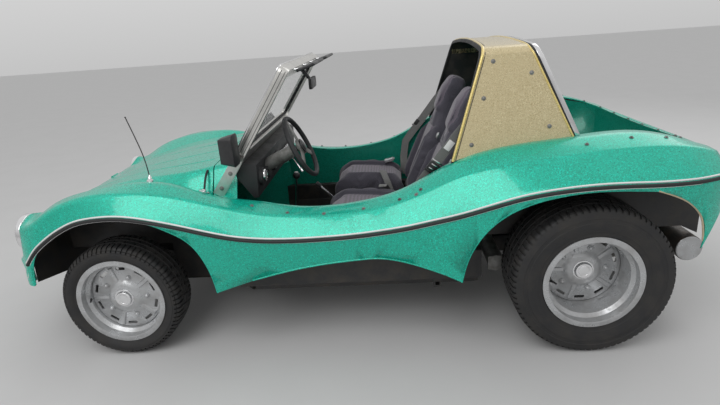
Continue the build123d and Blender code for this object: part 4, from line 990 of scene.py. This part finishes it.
# Shoulder belts beside the seats, as middle points; each strap is flat against the seat's side
BELT_LINE = [(-0.575, 0.536, 0.992), (-0.527, 0.532, 0.936), (-0.483, 0.530, 0.880), (-0.430, 0.529, 0.812),
             (-0.372, 0.528, 0.742), (-0.333, 0.526, 0.690), (-0.318, 0.520, 0.600), (-0.330, 0.510, 0.480)]
BELT_HALF, BELT_THICKNESS = 0.0225, 0.0022
# Lap straps, as middle points and half the width across
LAP_BELT = [((-0.240, 0.064, 0.430), (0.020, 0, 0)), ((-0.226, 0.064, 0.500), (0.020, 0, 0.003)),
            ((-0.206, 0.074, 0.566), (0.020, 0.004, 0.004)), ((-0.190, 0.110, 0.600), (0.020, 0.006, 0.004)),
            ((-0.182, 0.160, 0.606), (0.020, 0.006, 0.002))]


class BUGGY_OT_belts(PieceOperator, bpy.types.Operator):
    """Adds the shoulder straps with their adjusters, the buckles and the lap straps"""
    bl_idname = "buggy.belts"
    bl_label = "Belts"

    def execute(self, context):
        node = "seat_belts"
        for side, label in SIDES:
            rows = []
            for n, (x, y, z) in enumerate(BELT_LINE):
                ahead, behind = BELT_LINE[max(n - 1, 0)], BELT_LINE[min(n + 1, len(BELT_LINE) - 1)]
                along = (Vector(behind) - Vector(ahead)).normalized()
                half = Vector((-along.z, 0, along.x)).normalized() * BELT_HALF
                rows.append(((x, side * y, z), (half.x, side * 0.003, half.z)))
            strap(f"shoulder_belt_{label}", rows, node, replaces=True)
            bm = bmesh.new()
            spot = placed(-0.420, side * 0.533, 0.800, -39)
            block(bm, spot, (0.052, 0.012, 0.040), 0.003)
            block(bm, moved(spot, 0, side * 0.004, -0.027), (0.058, 0.007, 0.008), 0.002)
            finish_piece(f"belt_adjuster_{label}", bm, "black_plastic", node)
            bm = bmesh.new()
            for dz in (-0.010, 0.010):
                block(bm, moved(spot, 0, side * 0.0075, dz), (0.034, 0.003, 0.005), 0.001)
            block(bm, moved(spot, 0, side * 0.004, 0.030), (0.056, 0.004, 0.006), 0.001)
            finish_piece(f"adjuster_slides_{label}", bm, "chrome", node)
            bm = bmesh.new()
            block(bm, placed(-0.492, side * 0.5335, 0.893, -38), (0.030, 0.0012, 0.046), 0.0004)
            finish_piece(f"belt_patch_{label}", bm, "white_trim", node)
            bm = bmesh.new()
            spot = placed(-0.222, side * 0.418, 0.600, 14)
            block(bm, spot, (0.058, 0.030, 0.020), 0.004, 3)
            block(bm, moved(spot, -0.030, 0, 0.001), (0.012, 0.024, 0.006), 0.002)
            block(bm, moved(spot, 0.018, 0, 0.0105), (0.014, 0.022, 0.003), 0.001)
            finish_piece(f"belt_buckle_{label}", bm, "rim_silver", node)
            rows = [((x, side * y, z), (a, side * b, c)) for (x, y, z), (a, b, c) in LAP_BELT]
            strap(f"lap_belt_{label}", rows, node)
        return {"FINISHED"}


# The windscreen, as x z points: the middle of its frame at the foot and at the header's top edge
SCREEN_FOOT = (0.476, 0.852)
SCREEN_TOP = (0.196, 1.268)
SCREEN_HALF, SCREEN_DEPTH, SCREEN_BOTTOM = 0.523, 0.024, -0.030
BRACKET = [(0.590, 0.735), (0.546, 0.706), (0.440, 0.858), (0.425, 0.885), (0.438, 0.912), (0.472, 0.905),
           (0.506, 0.850)]
# Each bolt's x, z and radius
BRACKET_BOLTS = ((0.439, 0.889, 0.0125), (0.495, 0.820, 0.0085), (0.546, 0.753, 0.0085))
VISOR_PIVOT, VISOR_DROP, VISOR_DEPTH, VISOR_WIDTH = (0.166, 0.250, 1.243), (-0.087, 0, 0.026), 0.092, 0.360


class BUGGY_OT_windscreen(PieceOperator, bpy.types.Operator):
    """Models the stainless windscreen frame, its gasket, glass, brackets, bolts and visors"""
    bl_idname = "buggy.windscreen"
    bl_label = "Windscreen"

    def execute(self, context):
        node, half, depth, bottom = "windscreen_frame", SCREEN_HALF, SCREEN_DEPTH, SCREEN_BOTTOM
        rise = Vector((SCREEN_TOP[0] - SCREEN_FOOT[0], 0, SCREEN_TOP[1] - SCREEN_FOOT[1]))
        height = rise.length
        up = rise / height
        out = Vector((up.z, 0, -up.x))
        matrix = Matrix.Translation((SCREEN_FOOT[0], 0, SCREEN_FOOT[1])) @ Matrix(
            ((0, up.x, out.x), (1, 0, 0), (0, up.z, out.z))).to_4x4()
        sill, header = 0.092, height - 0.040
        middle, opening = (height + bottom) / 2, (sill + header) / 2

        def ring(name, material, owner, outer, inner, low, high, bevel, replaces=False):
            """A frame piece between two round-cornered outlines, each by its width, height, radius and middle."""
            bm = bmesh.new()
            open_frame(bm, rounded(*outer), rounded(*inner), matrix, low, high, bevel)
            finish_piece(name, bm, material, owner, replaces=replaces)
        ring("windscreen_frame_skin", "stainless", node, (2 * half, height - bottom, 0.030, middle),
             (2 * (half - 0.036), header - sill, 0.022, opening), -depth, depth, 0.003, replaces=True)
        ring("windscreen_front_bead", "chrome", node, (2 * half + 0.003, height - bottom + 0.003, 0.031, middle),
             (2 * half - 0.010, height - bottom - 0.010, 0.026, middle), depth - 0.006, depth + 0.001, 0.001)
        ring("windscreen_gasket", "black_rubber", "hoop_seals",
             (2 * (half - 0.0365), header - sill - 0.001, 0.021, opening),
             (2 * (half - 0.046), header - sill - 0.020, 0.014, opening), -0.011, 0.011, 0.0025)
        bm = bmesh.new()
        plate(bm, rounded(2 * (half - 0.044), header - sill - 0.014, 0.016, opening), matrix, -0.003, 0.003)
        finish_piece("windscreen_pane", bm, "clear_glass", "windscreen_glass", replaces=True)
        drop = Vector(VISOR_DROP).normalized()
        visor_turn = Matrix((drop, (0, 1, 0), (drop.z, 0, -drop.x))).transposed().to_4x4()
        for side, label in SIDES:
            y = side * (half + 0.0004)
            # Painted shade: two thin black bars down each post stand for the dark groove lines of the stainless frame.
            bm = bmesh.new()
            for shift in (-0.013, 0.004):
                bar(bm, matrix @ Vector((y, bottom + 0.06, shift)), matrix @ Vector((y, height - 0.012, shift)), 0.0012,
                    8)
            finish_piece(f"post_groove_shades_{label}", bm, "black_rubber", node)
            bm = bmesh.new()
            low = -half - 0.0065 if side == 1 else half + 0.0005
            plate(bm, BRACKET, UPRIGHT, low, low + 0.006, 0.0015)
            finish_piece(f"screen_bracket_{label}", bm, "cast_aluminium", node)
            bm = bmesh.new()
            for x, z, r in BRACKET_BOLTS:
                spot = turned((x, side * (half + 0.0065), z), (0, side, 0))
                disc(bm, spot, r * 1.25, 0.0015, 24, 0.0004)
                disc(bm, moved(spot, z=0.0015), r * 0.8, 0.006, 6, 0.0008)
            finish_piece(f"bracket_bolts_{label}", bm, "cast_metal", node)
            bm = bmesh.new()
            x, y, z = VISOR_PIVOT
            spot = Matrix.Translation(Vector((x, side * y, z)) + drop * VISOR_DEPTH / 2) @ visor_turn
            plate(bm, rounded(VISOR_DEPTH, VISOR_WIDTH, 0.020), spot, -0.007, 0.007, 0.0055, 4)
            finish_piece(f"visor_{label}", bm, "black_plastic", "sun_visors", replaces=True)
            bm = bmesh.new()
            for y in (0.115, 0.385):
                bar(bm, (0.188, side * y, 1.252), (0.160, side * y, 1.246), 0.005, 12, 0.001)
                disc(bm, turned((0.163, side * y - 0.011, 1.246), (0, 1, 0)), 0.008, 0.022, 20, 0.002)
            finish_piece(f"visor_pivots_{label}", bm, "chrome", "sun_visors")
        return {"FINISHED"}


# The hoop's walls lean in from y at the foot's height by an inset over a rise, up to where the roof begins
HOOP_Y, HOOP_FOOT_Z, HOOP_INSET, HOOP_RISE, HOOP_ROOF_Z = 0.606, 0.780, 0.100, 0.508, 1.262
# The hoop's front and rear edges as x, its run over a rise, and the height they start from
HOOP_FRONT, HOOP_REAR = (-0.500, -0.168, 0.519, 0.834), (-1.000, 0.200, 0.438, 0.915)
HOOP_COLUMNS, HOOP_WALL_ROWS, HOOP_ROOF_ROWS = 24, 24, 48
HOOP_BOLTS = ((-0.580, 0.901), (-0.636, 1.089), (-0.679, 1.235), (-0.905, 0.960), (-0.835, 1.180))


def hoop_wall_y(z):
    """How far the hoop's wall stands out from the car's middle at a height."""
    return HOOP_Y - (z - HOOP_FOOT_Z) * HOOP_INSET / HOOP_RISE


def hoop_edge_x(line, z):
    """Where the hoop's front or rear edge lies at a height."""
    x, run, rise, start = line
    return x + run * (z - start) / rise


def hoop_inside(centre, normal):
    """The hoop is black where its faces look at the cabin."""
    return int(normal.dot(Vector((0, centre.y, centre.z - 0.9))) < -0.2 and abs(normal.x) < 0.5)


class BUGGY_OT_hoop(PieceOperator, bpy.types.Operator):
    """Models the gold roof hoop as one smooth shell with rolled edges and bolts"""
    bl_idname = "buggy.hoop"
    bl_label = "Roof hoop"

    def execute(self, context):
        solid = tree_of("roof_hoop")
        last = 2 * HOOP_WALL_ROWS + HOOP_ROOF_ROWS

        def foot(x):
            """The height at which the hoop starts at x."""
            z = 0.80
            while z < 1.0:
                if solid.ray_cast(Vector((x, 0.9, z)), Vector((0, -1, 0)), 0.5)[0] is not None:
                    return z
                z += 0.002
            return 0.9
        feet = [foot(-0.506 - 0.482 * k / HOOP_COLUMNS) for k in range(HOOP_COLUMNS + 1)]

        def skin_point(n, k):
            """Row n runs from the foot over the crown, column k from the front edge to the rear edge."""
            if n <= HOOP_WALL_ROWS or n >= last - HOOP_WALL_ROWS:
                part = min(n, last - n) / HOOP_WALL_ROWS
                z = feet[k] + (HOOP_ROOF_Z - feet[k]) * part
                y = hoop_wall_y(z) if n <= HOOP_WALL_ROWS else -hoop_wall_y(z)
            else:
                y = hoop_wall_y(HOOP_ROOF_Z) * cos((n - HOOP_WALL_ROWS) / HOOP_ROOF_ROWS * pi)
                hit = solid.ray_cast(Vector((-0.735, y, 1.5)), Vector((0, 0, -1)))[0]
                z = hit.z if hit is not None else HOOP_ROOF_Z
            front, rear = hoop_edge_x(HOOP_FRONT, z), hoop_edge_x(HOOP_REAR, z)
            return Vector((front + (rear - front) * (k / HOOP_COLUMNS), y, z))
        bm = bmesh.new()
        rows = []
        for n in range(last + 1):
            verts = [bm.verts.new(skin_point(n, k)) for k in range(HOOP_COLUMNS + 1)]
            rows.append([bm.edges.new(pair) for pair in zip(verts, verts[1:])])
        for a, b in zip(rows, rows[1:]):
            bmesh.ops.bridge_loops(bm, edges=a + b)
        bmesh.ops.recalc_face_normals(bm, faces=bm.faces)
        if min(bm.faces, key=lambda f: abs(f.calc_center_median().y)).normal.z < 0:
            bmesh.ops.reverse_faces(bm, faces=bm.faces)
        bmesh.ops.solidify(bm, geom=bm.faces, thickness=0.007)
        shell = finish_piece("hoop_shell", bm, "gold_flake", "roof_hoop", 50, merge=False, replaces=True)
        face_materials(shell, "chassis_black", hoop_inside)
        rows = range(0, last + 1, 3)
        front = [skin_point(n, 0) + Vector((0.002, 0, 0)) for n in rows]
        rear = [skin_point(n, HOOP_COLUMNS) - Vector((0.001, 0, 0)) for n in rows]
        # Painted shade: a thin black line just behind the front flange stands for the shade in the groove there.
        groove = [Vector((p.x - 0.011, p.y * 1.001, p.z)) for p in front]
        # The rolled flanges take the brighter gold, which is a painted highlight.
        strand("hoop_front_flange", front, 0.0065, "highlit_gold_edge", "roof_hoop")
        strand("hoop_rear_flange", rear, 0.0045, "highlit_gold_edge", "roof_hoop")
        strand("hoop_front_groove_shade", groove, 0.0016, "chassis_black", "roof_hoop")
        bm = bmesh.new()
        for side in (1, -1):
            for x, z in HOOP_BOLTS:
                spot = turned((x, side * hoop_wall_y(z), z), (0, side * 0.98, 0.19))
                disc(bm, spot, 0.0095, 0.0015, 24, 0.0005)
                dome(bm, moved(spot, z=0.0012), 0.006, 0.0035)
        finish_piece("hoop_bolts", bm, "cast_metal", "roof_hoop")
        return {"FINISHED"}


STUD_PLACES = [(0.389, 0.628), (0.229, 0.651), (0.068, 0.658), (-0.106, 0.653), (-0.264, 0.657), (-0.335, 0.672),
               (-0.355, 0.655), (-1.026, 0.672), (-1.206, 0.655), (-1.350, 0.640)]
REAR_STUDS = [(-1.455, 0.550), (-1.505, 0.420), (-1.515, 0.249), (-1.520, 0.080), (-1.520, -0.080), (-1.515, -0.249),
              (-1.505, -0.420), (-1.455, -0.550)]
# The lid's ridges: their y at the rear, where they start, how far they run and draw in, their radius and how deep
# they lie; then where a latch stands and its strap hooks on, in y
RIDGES = (-0.30, -0.12, 0.12, 0.30)
RIDGE_X, RIDGE_RUN, RIDGE_TAPER, RIDGE_RADIUS, RIDGE_SUNK = 0.64, 0.72, 0.10, 0.0125, 0.0105
LATCH_Y, HOOK_Y = 0.552, 0.462
ANTENNA_FOOT = [(0.0001, 0.034), (0.0035, 0.033), (0.0045, 0.026), (0.008, 0.022), (0.0095, 0.012), (0.015, 0.008),
                (0.0165, 0.001), (0.016, -0.002)]
ANTENNA = [(0.858, 0.561, 0.812), (0.8575, 0.556, 0.833), (0.871, 0.545, 0.924), (0.899, 0.533, 1.013),
           (0.931, 0.520, 1.102)]


class BUGGY_OT_fittings(PieceOperator, bpy.types.Operator):
    """Adds the cover studs, the lid's ridges and latches, and the antenna"""
    bl_idname = "buggy.fittings"
    bl_label = "Fittings"

    def execute(self, context):
        shell, lid = tree_of("body_tub"), tree_of("front_lid")
        for name, places in (("studs_left", STUD_PLACES), ("studs_right", [(x, -y) for x, y in STUD_PLACES]),
                             ("studs_rear", REAR_STUDS)):
            bm = bmesh.new()
            for x, y in places:
                spot = turned(*from_above(shell, x, y))
                disc(bm, spot, 0.0085, 0.0022, 24, 0.0007)
                disc(bm, moved(spot, z=0.0022), 0.0048, 0.0048, 20, 0.0008, 0.0040)
            finish_piece(name, bm, "cast_metal", "hoop_chrome")
        for n, y in enumerate(RIDGES):
            points = []
            for k in range(12):
                point, normal = from_above(lid, RIDGE_X + RIDGE_RUN * k / 11, y * (1 - RIDGE_TAPER * k / 11))
                points.append(point - normal * RIDGE_SUNK)
            strand(f"lid_ridge_{n + 1}", points, RIDGE_RADIUS, "green_flake", "front_lid")
        node = "lid_latches"
        for side, label in SIDES:
            low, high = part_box(node)
            x = (low[0] + high[0]) / 2
            point, normal = from_above(shell, x, side * LATCH_Y)
            spot = turned(point, normal)
            bm = bmesh.new()
            block(bm, moved(spot, z=0.004), (0.036, 0.040, 0.008), 0.0025, 3)
            bar(bm, spot @ Vector((-0.016, 0.008, 0.012)), spot @ Vector((0.016, 0.008, 0.012)), 0.0045, 16, 0.001)
            for w in (-0.012, 0.012):
                dome(bm, moved(spot, w, -0.010, 0.008), 0.004, 0.003)
            finish_piece(f"latch_{label}", bm, "chrome", node, replaces=True)
            top, tilt = from_above(lid, x, side * HOOK_Y)
            middle = top.lerp(point, 0.5) + tilt * 0.008 + Vector((0, side * 0.008, 0))
            hook = [spot @ Vector((0.0, 0.004, 0.011)), middle, top + tilt * 0.007, top + tilt * 0.001]
            strand(f"latch_strap_{label}", hook, 0.0050, "black_rubber", node)
        bm = bmesh.new()
        base, normal = from_above(shell, *ANTENNA[0][:2])
        lathe(bm, ANTENNA_FOOT, turned(base, (normal + Vector((0, 0, 1))).normalized()), 32)
        finish_piece("antenna_foot", bm, "chrome", "antenna", replaces=True)
        strand("antenna_rod", ANTENNA, 0.0024, "chassis_black", "antenna")
        bm = bmesh.new()
        dome(bm, turned(ANTENNA[-1], (0.3, -0.1, 1)), 0.0036, 0.0036)
        finish_piece("antenna_tip", bm, "chassis_black", "antenna")
        return {"FINISHED"}


COLUMN_TILT = radians(24.5)
STEERING_CENTRE = Vector((0.200, 0.300, 0.877))
GRIP_R, GRIP_THICKNESS = 0.150, 0.0120
WHEEL_SPOKES = (90, 210, 330)
SPOKE = [(0.026, -0.019), (0.146, -0.012), (0.146, 0.012), (0.026, 0.019)]
SHROUD = [(0.014, 0.034), (0.026, 0.034), (0.030, 0.038), (0.032, 0.060), (0.033, 0.150), (0.031, 0.230),
          (0.022, 0.236), (0.022, 0.600)]
# Each gauge's y and radius, and the height of their row
GAUGES = ((0.300, 0.048), (0.415, 0.028), (0.185, 0.028), (0.090, 0.026), (0.000, 0.026))
GAUGE_Z = 0.775


def steering_pieces():
    """The wheel with its grip, spokes and horn button, the column's shroud and its stalks."""
    axis = Vector((cos(COLUMN_TILT), 0, -sin(COLUMN_TILT)))
    face, down = turned(STEERING_CENTRE, -axis), turned(STEERING_CENTRE, axis)
    bm = bmesh.new()
    grip = [(GRIP_R + GRIP_THICKNESS * cos(a), GRIP_THICKNESS * sin(a)) for a in (radians(15 * n) for n in range(25))]
    lathe(bm, grip, face, 96)
    finish_piece("steering_grip", bm, "dark_trim", "steering_wheel", replaces=True)
    bm = bmesh.new()
    for angle in WHEEL_SPOKES:
        plate(bm, SPOKE, spun(face, angle, "Z"), -0.0025, 0.0025, 0.0012)
    disc(bm, moved(face, z=-0.012), 0.040, 0.018, 48, 0.003)
    finish_piece("steering_spokes", bm, "cast_metal", "steering_wheel")
    bm = bmesh.new()
    disc(bm, moved(face, z=0.006), 0.034, 0.008, 48, 0.003)
    dome(bm, moved(face, z=0.014), 0.026, 0.006, 32)
    for n in range(6):
        disc(bm, moved(spun(face, 60 * n, "Z"), 0.036, 0, 0.006), 0.0028, 0.003, 12, 0.0005)
    disc(bm, moved(face, z=-0.060), 0.012, 0.050, 24, 0.001)
    finish_piece("horn_button", bm, "black_plastic", "steering_wheel")
    bm = bmesh.new()
    lathe(bm, SHROUD, down, 48)
    finish_piece("column_shroud", bm, "cast_metal", "steering_column", replaces=True)
    bm = bmesh.new()
    for sway, reach in ((-60, 0.120), (-125, 0.110)):
        root = spun(moved(down, z=0.062), sway, "Z")
        bar(bm, root @ Vector((0.028, 0, 0)), root @ Vector((reach - 0.020, 0, -0.016)), 0.0032, 12)
        bar(bm, root @ Vector((reach - 0.022, 0, -0.016)), root @ Vector((reach, 0, -0.021)), 0.0055, 16, 0.0015)
    finish_piece("column_stalks", bm, "chrome", "steering_column")


def gauge_pieces():
    """The dashboard with its gauges' bezels, dials and needles, and its row of switches."""
    node = "dashboard"
    dressed(node, bevel=0.002)
    panel, front = tree_of(node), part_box(node)[0][0]
    bm, dials, needles = bmesh.new(), bmesh.new(), bmesh.new()
    for y, r in GAUGES:
        hit = panel.ray_cast(Vector((0.1, y, GAUGE_Z)), Vector((1, 0, 0)))[0]
        if hit is None:
            continue
        spot = turned(hit, (-1, 0, 0))
        lathe(bm, [(r * 0.86, 0.0), (r * 0.88, 0.006), (r * 0.95, 0.008), (r * 1.0, 0.005), (r * 1.02, 0.0)], spot, 40)
        disc(dials, spot, r * 0.88, 0.0012, 40)
        block(needles, moved(spun(spot, 50, "Z"), r * 0.3, 0, 0.003), (r * 0.6, r * 0.05, 0.001), 0.0003)
        disc(needles, spot, r * 0.1, 0.004, 16, 0.0005)
    for n in range(5):
        block(bm, turned((front + 0.004, -0.10 - 0.045 * n, GAUGE_Z), (-1, 0, 0)), (0.020, 0.030, 0.012), 0.002)
    finish_piece("gauge_bezels", bm, "chrome", node)
    finish_piece("gauge_dials", dials, "black_plastic", node)
    finish_piece("gauge_needles", needles, "white_trim", node)


def lever_pieces():
    """The gear lever and handbrake with their knobs and the gaiter."""
    node = "hand_levers"
    bm = bmesh.new()
    bar(bm, (0.333, 0, 0.345), (0.297, 0.010, 0.645), 0.0055, 16)
    bar(bm, (-0.030, 0, 0.372), (0.176, 0.0195, 0.592), 0.0065, 16)
    disc(bm, turned((0.333, 0, 0.350), (0, 0, 1)), 0.040, 0.006, 40, 0.002)
    block(bm, Matrix.Translation((-0.030, 0, 0.362)), (0.085, 0.042, 0.030), 0.004)
    finish_piece("lever_rods", bm, "chrome", node, replaces=True)
    bm = bmesh.new()
    knob = Matrix.Translation((0.296, 0.010, 0.650))
    dome(bm, knob, 0.0205, 0.0205, 32)
    bar(bm, (0.165, 0.0185, 0.580), (0.188, 0.0205, 0.606), 0.0125, 24, 0.005)
    finish_piece("lever_knobs", bm, "black_plastic", node)
    bm = bmesh.new()
    disc(bm, moved(knob, z=0.0185), 0.0105, 0.0024, 32, 0.0006)
    finish_piece("knob_cap", bm, "white_trim", node)
    bm = bmesh.new()
    outline = [(0.050, 0.354)]
    for n in range(6):
        outline += [(0.047 - 0.006 * n, 0.362 + 0.010 * n), (0.040 - 0.006 * n, 0.366 + 0.010 * n)]
    slant = Matrix(((1, 0, -0.12, 0.376), (0, 1, 0.03, -0.011), (0, 0, 1, 0), (0, 0, 0, 1)))
    lathe(bm, outline + [(0.006, 0.424)], slant, 40)
    finish_piece("lever_gaiter", bm, "black_rubber", node)


class BUGGY_OT_controls(PieceOperator, bpy.types.Operator):
    """Models the steering wheel, column shroud, stalks, gauges, switches and hand levers"""
    bl_idname = "buggy.controls"
    bl_label = "Controls"

    def execute(self, context):
        steering_pieces()
        gauge_pieces()
        lever_pieces()
        return {"FINISHED"}


CLASSES = [BuggySizes, BUGGY_OT_stage, BUGGY_OT_moulding, BUGGY_OT_plain_nodes, BUGGY_OT_wheels, BUGGY_OT_seats,
           BUGGY_OT_belts, BUGGY_OT_windscreen, BUGGY_OT_hoop, BUGGY_OT_fittings, BUGGY_OT_controls]
OPERATORS = [c for c in CLASSES if issubclass(c, bpy.types.Operator)]


class BUGGY_PT_panel(bpy.types.Panel):
    """Lists the buggy's operators and sizes"""
    bl_idname = "BUGGY_PT_panel"
    bl_label = "Dune buggy"
    bl_space_type = "VIEW_3D"
    bl_region_type = "UI"
    bl_category = "Buggy"

    def draw(self, context):
        for name in BuggySizes.__annotations__:
            self.layout.prop(context.scene.buggy_sizes, name)
        for operator in OPERATORS:
            self.layout.operator(operator.bl_idname)


def register():
    for cls in CLASSES + [BUGGY_PT_panel]:
        bpy.utils.register_class(cls)
    bpy.types.Scene.buggy_sizes = bpy.props.PointerProperty(type=BuggySizes)


def unregister():
    del bpy.types.Scene.buggy_sizes
    for cls in reversed(CLASSES + [BUGGY_PT_panel]):
        bpy.utils.unregister_class(cls)


def main():
    register()
    make_materials(tuple(sizes().green), tuple(sizes().gold))
    for operator in OPERATORS:
        group_name, call = operator.bl_idname.split(".")
        getattr(getattr(bpy.ops, group_name), call)()


if __name__ == "__main__":
    main()
